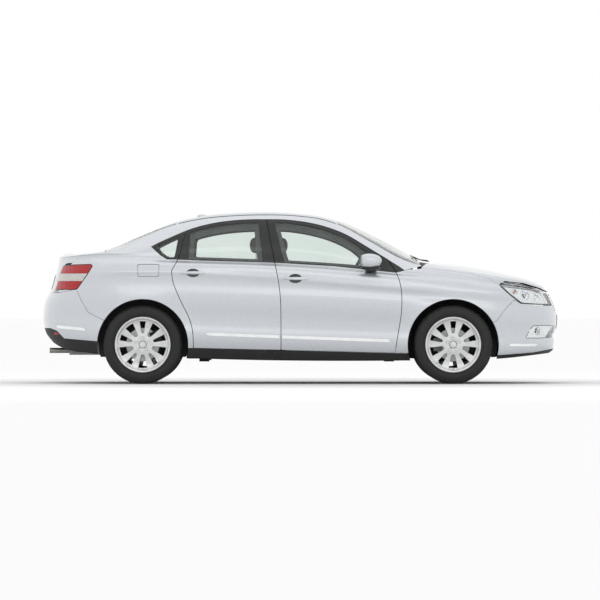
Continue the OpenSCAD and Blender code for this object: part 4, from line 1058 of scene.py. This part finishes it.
def frontLamps():
    sizes = frontLampSizes
    lens, inner = outlines["headlamp"], grown(outlines["headlamp"], -11)
    near = fits["lampInner"]
    cover = band(grown(lens, -0.5), 3, 0, near)
    rim = band(grown(lens, -1), 50, 4, near, **rough)
    cut(rim, across(inner, near - 100))
    bowl = band(inner, 34, 22, near)
    brow = band(grown(lens, -4), 5, 6, near)
    cut(brow, across(shifted(grown(lens, -4), -3, -12), near - 100))
    parts = [(cover, clearLens), (rim, satinBlack), (brow, brightChrome)]
    for x, z, size, material in sizes["bowls"]:
        hit, facing = onSide(x, z)
        cut(bowl, scaledBall(hit - facing * sizes["bowlDeep"], (size * mm,) * 3, segments=64))
        parts.append((scaledBall(hit - facing * sizes["bulbDeep"], (sizes["bulb"],) * 3, segments=24), material))
    parts += [(bowl, brightChrome), (band(grown(lens, -1), 6, 58, near, **rough), roughBlack)]
    # fog lamp: a clear cover over a bright bowl, with a black corner
    fog = outlines["fog"]
    fogCover = band(grown(fog, -1), 3, 10, 400)
    fogBowl = band(grown(fog, -2), 22, 18, 400)
    hit, facing = onSide(2150, 472)
    cut(fogBowl, scaledBall(hit - facing * sizes["fogDeep"], (sizes["fogBowl"],) * 3, segments=64))
    fogBulb = scaledBall(hit - facing * sizes["fogBulbDeep"], (sizes["fogBulb"],) * 3, segments=24)
    fogCorner = band([(2214, 412), (2400, 440), (2400, 500), (2268, 486)], 4, 14, 400)
    parts += [(fogCover, clearLens), (fogBowl, brightChrome), (fogBulb, clearLens), (fogCorner, satinBlack)]
    bothSides(parts, "front_lamps", replaces=["front_lamps"], split=False)


def tailLamps():
    near = fits["tailLampInner"]
    edge = grown(outlines["tailLamp"], -4)
    parts = []
    for low, high, material in ((992, 1100, redLens), (924, 991, whiteLens), (800, 923, redLens)):
        lens = within(band(edge, 4, 0, near), across(box(-2500, -1700, low, high), near - 100))
        parts.append((lens, material))
    rim = band(outlines["tailLamp"], 46, 2, near, **rough)
    cut(rim, across(edge, near - 100))
    parts.append((rim, satinBlack))
    bowl = band(edge, 14, 20, near, fill=4, step=30)
    for x, z, size in tailLampSizes["bowls"]:
        hit, facing = onSide(x, z)
        cut(bowl, scaledBall(hit - facing * tailLampSizes["bowlDeep"], (size * mm,) * 3))
        bulb = scaledBall(hit - facing * tailLampSizes["bulbDeep"], (tailLampSizes["bulb"],) * 3, segments=16)
        parts.append((bulb, clearLens))
    parts.append((bowl, brightChrome))
    bothSides(parts, "tail_lamps", replaces=["tail_lamps"], split=False)


def grille():
    plate = shell("grille", 26, ahead(grilleFace),
                  across([(1800, 500), (2500, 500), (2500, 814), (2245, 818), (1800, 818)], side=0), under=6)
    for k in range(7):
        z, half = 640 + 23 * k, 352 + 9 * k
        slot = [(-half, z), (half, z), (half + 4, z + 14), (-half - 4, z + 14)]
        cut(plate, ahead(softened(slot, 5)))
    backing = shell("grille_backing", 4, ahead(grown(grilleFace, -4)), under=44, **rough)
    trim = shell("grille_trim", 9, ahead(grown(grilleFace, -1)), under=-2)
    cut(trim, ahead(grown(grilleFace, -13), 100))
    for piece, material in ((plate, satinBlack), (backing, roughBlack), (trim, brightChrome)):
        dressed(piece, material)
    place(skinShade(joined([plate, backing], "grille_detail")), "body", replaces=["grille"])
    place(skinShade(trim), "body")
    mesh = shell("intake_mesh", 12, ahead(grown(intakeFace, 8)), under=26)
    for k in range(5):
        for j in range(-8, 9):
            cut(mesh, ahead(ring(6, 15, 9, 44 * j + 22 * (k % 2), 344 + 24 * k)))
    place(skinShade(mesh), "body", satinBlack)


def trims():
    def stripLine(x):
        return 446 + (388 - 446) * (x + 851) / 1656

    def sideStrip(x0, x1, point):
        z0, z1 = stripLine(x0), stripLine(x1)
        end = [(x1, z1 - 13), (x1 - 8, z1 + 14)]
        if point:
            return [(x0, z0), (x0 + 30, z0 - 12)] + end + [(x0 + 30, z0 + 14)]
        return [(x0, z0 - 13)] + end + [(x0, z0 + 14)]

    for word, x0, x1 in (("front", -160, 805), ("rear", -851, -180)):
        strips = [(band(sideStrip(x0, x1, word == "rear"), 9, -6), brightChrome)]
        bothSides(strips, word + "_door_strip", word + "_door_{}")
    rear = [(-2188, 500), (-1925, 477), (-1925, 490), (-1950, 504), (-2188, 527)]
    front = [(1870, 340), (2115, 335), (2140, 358), (1888, 361)]
    bothSides([(band(rear, 9, -6, 300), brightChrome), (band(front, 9, -5, 300), brightChrome),
               (band(box(-2215, -2170, 441, 460), 5, -3, 300), redLens)], "bumper_strips", split=False)
    # blank plates: white sheets on black holders
    for name, face, body, start, end in (("rear_plate", box(-262, 262, 856, 972), "boot_lid", -3000, -1900),
                                         ("front_plate", box(-262, 262, 500, 614), "body", 1900, 3000)):
        sheet = shell(name, 3, prism(softened(face, 10), "x", start, end), under=-5)
        holder = shell(name + "_holder", 7, prism(softened(grown(face, 6), 12), "x", start, end), under=-3)
        place(skinShade(holder), body, roughBlack)
        place(skinShade(sheet), body, plateWhite)
    # wiper arms and blades lie on the windscreen's foot
    wipers = []
    for y in (-560, 40):
        blade = [(1052, y), (1058, y + 2), (1010, y + 520), (1004, y + 518)]
        arm = [(1160, y + 60), (1166, y + 78), (1036, y + 280), (1026, y + 272)]
        wipers += [shell("blade", 9, upright(blade), under=-10), shell("arm", 8, upright(arm), under=-19)]
    place(skinShade(joined(wipers, "wipers")), "body", satinBlack)
    fin = scaledBall((-0.890, 0, 1.516), (0.045, 0.012, 0.016), "roof_aerial", 32)
    place(smooth(fin), "body", paint)


def roundedBall(name, centre, half, power=0.55, segments=48):
    # a ball pushed out towards its box, so that its faces flatten and its corners stay round
    bpy.ops.mesh.primitive_uv_sphere_add(segments=segments, ring_count=segments // 2, radius=1)
    ball = added(name)
    for vertex in ball.data.vertices:
        co = [math.copysign(abs(v) ** power, v) for v in vertex.co]
        size = max(abs(v) for v in vertex.co) ** power
        length = math.sqrt(sum(v * v for v in co))
        vertex.co = Vector([centre[i] + half[i] * co[i] / length * (1 + 0.28 * (1 - size)) for i in range(3)])
    return ball


handleSize = {"half": (0.112, 0.0075, 0.0142), "taper": 0.16, "standOff": 0.0205, "bow": 0.008, "footAt": 92,
              "foot": (0.015, 0.010, 0.010)}


def handles():
    for word, (x, z) in handleSpots.items():
        grip = roundedBall("grip", (0, 0, 0), handleSize["half"], 0.5, 64)
        for vertex in grip.data.vertices:
            u = vertex.co.x / handleSize["half"][0]
            vertex.co.z *= 1 + handleSize["taper"] * u
            spot, normal = onSide(x + vertex.co.x / mm, z + vertex.co.z / mm)
            vertex.co.y = spot.y - handleSize["standOff"] + handleSize["bow"] * u * u + vertex.co.y
            vertex.co.x, vertex.co.z = spot.x, spot.z
        parts = [smooth(grip, 60)]
        for dx in (-handleSize["footAt"], handleSize["footAt"]):
            spot, normal = onSide(x + dx, z)
            parts.append(smooth(roundedBall("foot", spot + normal * 0.005, handleSize["foot"]), 60))
        right = joined(parts, word + "_handle_right_detail")
        left = mirroredTwin(right, word + "_handle_left_detail")
        for piece, side in ((right, "right"), (left, "left")):
            place(piece, word + "_door_" + side, paint, [word + "_handle_" + side])


mirrorSize = {"foot": (640, 1010), "reach": 0.117, "half": (0.104, 0.066, 0.067)}


def mirrors():
    foot, normal = onSide(*mirrorSize["foot"])
    capY = foot.y - mirrorSize["reach"]
    cap = roundedBall("mirror_right_detail", (0, 0, 0), mirrorSize["half"], 0.6, 64)
    for vertex in cap.data.vertices:
        u, v = vertex.co.x / mirrorSize["half"][0], vertex.co.y / mirrorSize["half"][1]
        vertex.co.z *= 1 - 0.10 * u
        vertex.co.x *= 1 + 0.08 * v
        vertex.co += Vector((0.630, capY, 1.102))
    bpy.ops.mesh.primitive_cube_add(size=1, location=(0.500, capY, 1.10))
    slab = added("slab")
    slab.scale = (0.10, 0.3, 0.3)
    cut(cap, settle(slab))
    glassFace = roundedBall("mirror_face", (0.549, capY, 1.102), (0.003, 0.055, 0.054), 0.5)
    base = roundedBall("mirror_foot", (0.638, foot.y - 0.035, 1.020), (0.056, 0.060, 0.017), 0.5)
    tray = roundedBall("mirror_tray", (0.632, foot.y - 0.112, 1.040), (0.096, 0.060, 0.020), 0.5)
    for piece, material in ((cap, paint), (glassFace, brightChrome), (base, satinBlack), (tray, satinBlack)):
        dressed(smooth(piece, 50), material)
    right = joined([cap, glassFace, base, tray], "mirror_right_detail")
    left = mirroredTwin(right, "mirror_left_detail")
    for piece, side in ((right, "right"), (left, "left")):
        place(piece, "front_door_" + side, replaces=["mirror_" + side])


frontLamps()
tailLamps()
grille()
trims()
handles()
mirrors()
print("lamps, trims, handles and mirrors done")


seatSizes = {"voxel": 0.013, "pressure": 4, "frames": 20, "cap": 0.016}


def pad(name, profile, y0, y1):
    # a stuffed pad: a side-view outline pushed across, remeshed, swollen as cloth and smoothed
    obj = prism(softened(profile, 30, 10), "y", y0, y1)
    obj.name = obj.data.name = name
    applied(obj, "BEVEL", width=0.018, segments=3, limit_method="ANGLE", angle_limit=math.radians(50))
    applied(obj, "REMESH", mode="VOXEL", voxel_size=seatSizes["voxel"])
    before = np.array([v.co for v in obj.data.vertices])
    activate(obj)
    cloth = obj.modifiers.new("Cloth", "CLOTH")
    cloth.settings.use_pressure = True
    cloth.settings.uniform_pressure_force = seatSizes["pressure"]
    cloth.settings.effector_weights.gravity = 0
    for number in range(1, seatSizes["frames"] + 1):
        bpy.context.scene.frame_set(number)
    bpy.ops.object.modifier_apply(modifier=cloth.name)
    after = np.array([v.co for v in obj.data.vertices])
    step = after - before
    length = np.linalg.norm(step, axis=1, keepdims=True) + 1e-9
    after = before + step / length * np.minimum(length, seatSizes["cap"])
    for vertex, co in zip(obj.data.vertices, after):
        vertex.co = co
    bpy.context.scene.frame_set(1)
    applied(obj, "SMOOTH", factor=0.5, iterations=3)
    smooth(obj, 60)
    return obj


def seats():
    base = [(-130, 392), (-70, 345), (408, 345), (424, 462), (404, 492), (10, 452), (-60, 448)]
    back = [(-52, 470), (-168, 1088), (-230, 1112), (-286, 1052), (-160, 400), (-90, 400)]
    rest = [(-175, 1178), (-165, 1290), (-190, 1322), (-245, 1318), (-275, 1282), (-262, 1178)]
    first = True
    for side, middle, slide in (("right", -365, -180), ("left", 365, 50)):
        for part, profile, width in (("cushion", base, 470), ("backrest", back, 470), ("headrest", rest, 240)):
            piece = pad(f"front_seat_{part}_{side}", shifted(profile, slide, 0), middle - width / 2,
                        middle + width / 2)
            place(piece, "body", seatCloth, ["front_seats"] if first else [])
            first = False
        for dy in (-50, 50):
            bpy.ops.mesh.primitive_cylinder_add(vertices=20, radius=0.006, depth=0.1,
                                                location=((-215 + slide) * mm, (middle + dy) * mm, 1.145))
            place(smooth(settle(added(f"headrest_post_{side}_{dy + 50}"))), "body", brightChrome)
    bench = [(-1040, 480), (-660, 482), (-545, 505), (-515, 556), (-545, 586), (-1040, 560)]
    behind = [(-1070, 575), (-1232, 1040), (-1288, 1044), (-1288, 500), (-1070, 500)]
    place(pad("rear_seat_cushion", bench, -530, 530), "body", seatCloth, ["rear_seat"])
    place(pad("rear_seat_backrest", behind, -530, 530), "body", seatCloth)
    for side, middle in (("right", -330), ("left", 330)):
        rear = [(-1292, 1066), (-1228, 1066), (-1222, 1160), (-1240, 1180), (-1286, 1176)]
        place(pad("rear_headrest_" + side, rear, middle - 118, middle + 118), "body", seatCloth)


def steeringWheel():
    centre = Vector((0.490, 0.365, 1.000))
    bpy.ops.mesh.primitive_torus_add(major_segments=72, minor_segments=16, major_radius=0.175,
                                     minor_radius=0.0145)
    rim = added("steering_wheel_detail")
    hub = roundedBall("hub", (0, 0, 0), (0.072, 0.062, 0.022), 0.7, 32)
    parts = [rim, hub]
    for a in (0, 180, 270):
        spoke = roundedBall("spoke", (0.115, 0, -0.004), (0.062, 0.016, 0.007), 0.6, 24)
        spoke.data.transform(Matrix.Rotation(math.radians(a), 4, "Z"))
        parts.append(spoke)
    wheel = joined(parts, "steering_wheel_detail")
    axis = Vector((-0.906, 0, 0.423))
    turn = Vector((0, 0, 1)).rotation_difference(axis).to_matrix().to_4x4()
    wheel.data.transform(Matrix.Translation(centre) @ turn @ Matrix.Rotation(math.radians(90), 4, "Z"))
    place(smooth(wheel, 50), "steering_wheel", cabinPlastic, ["steering_wheel"])


seats()
steeringWheel()
print("cabin done")

nodeFinish = {"floor_pan": underSteel, "arch_liners": roughBlack, "cowl_panel": roughBlack, "grille": satinBlack,
              "front_lamps": clearLens, "tail_lamps": redLens, "dashboard": cabinPlastic, "front_seats": seatCloth,
              "rear_seat": seatCloth, "engine": engineMetal, "front_subframe": underSteel, "rear_axle": underSteel,
              "exhaust": exhaustSteel, "fuel_tank": tankPlastic, "knuckle_left": castIron, "knuckle_right": castIron,
              "steering_wheel": cabinPlastic, "mirror_left": paint, "mirror_right": paint}
for name, node in nodes.items():
    if not node.hide_render:
        dressed(node, nodeFinish.get(name, brightChrome))

removed(*forms.values())

view = {"distance": 60.0, "lens": 395.6, "height": 0.753}


def stageAndLight():
    scene = bpy.context.scene
    scene.view_settings.view_transform = "Standard"
    cameraData = bpy.data.cameras.new("camera")
    cameraData.lens, cameraData.sensor_width, cameraData.clip_end = view["lens"], 36, 500
    camera = bpy.data.objects.new("camera", cameraData)
    scene.collection.objects.link(camera)
    camera.location = (0, -view["distance"], view["height"])
    camera.rotation_euler = (math.pi / 2, 0, 0)
    scene.camera = camera
    bpy.ops.mesh.primitive_plane_add(size=400, location=(0, 0, 0))
    floor = added("studio_floor")
    # pale floor painted darker near the car, fading out between 1.5 and 4.5 m from its centre: painted shade round the
    # car, which also darkens the lower body's reflections
    material, main, where = startMaterial("pale_floor_painted_shade_round_car", Roughness=0.9)
    distance = addNode(material, "ShaderNodeVectorMath", {"operation": "LENGTH"}, {0: where}).outputs["Value"]
    near = addNode(material, "ShaderNodeMapRange", {"From Min": 1.5, "From Max": 4.5}, {"Value": distance})
    tint(material, main, near.outputs["Result"], "#D6D6D6", "#FBFBFB", 0, 1)
    floor.data.materials.append(material)
    world = bpy.data.worlds.new("studio")
    scene.world = world
    world.use_nodes = True
    world.node_tree.nodes["Background"].inputs["Color"].default_value = (1, 1, 1, 1)
    world.node_tree.nodes["Background"].inputs["Strength"].default_value = 1.0
    for name, spot, size, power in (("top_light", (0, 0, 7), (9, 6), 40), ("side_light", (1, -9, 5), (10, 3), 60)):
        lampData = bpy.data.lights.new(name, "AREA")
        lampData.shape, lampData.size, lampData.size_y, lampData.energy = "RECTANGLE", size[0], size[1], power
        lamp = bpy.data.objects.new(name, lampData)
        scene.collection.objects.link(lamp)
        lamp.location = spot
        lamp.rotation_euler = (Vector((0, 0, 0.6)) - Vector(spot)).to_track_quat("-Z", "Y").to_euler()


stageAndLight()
deselect()


print("scene done")
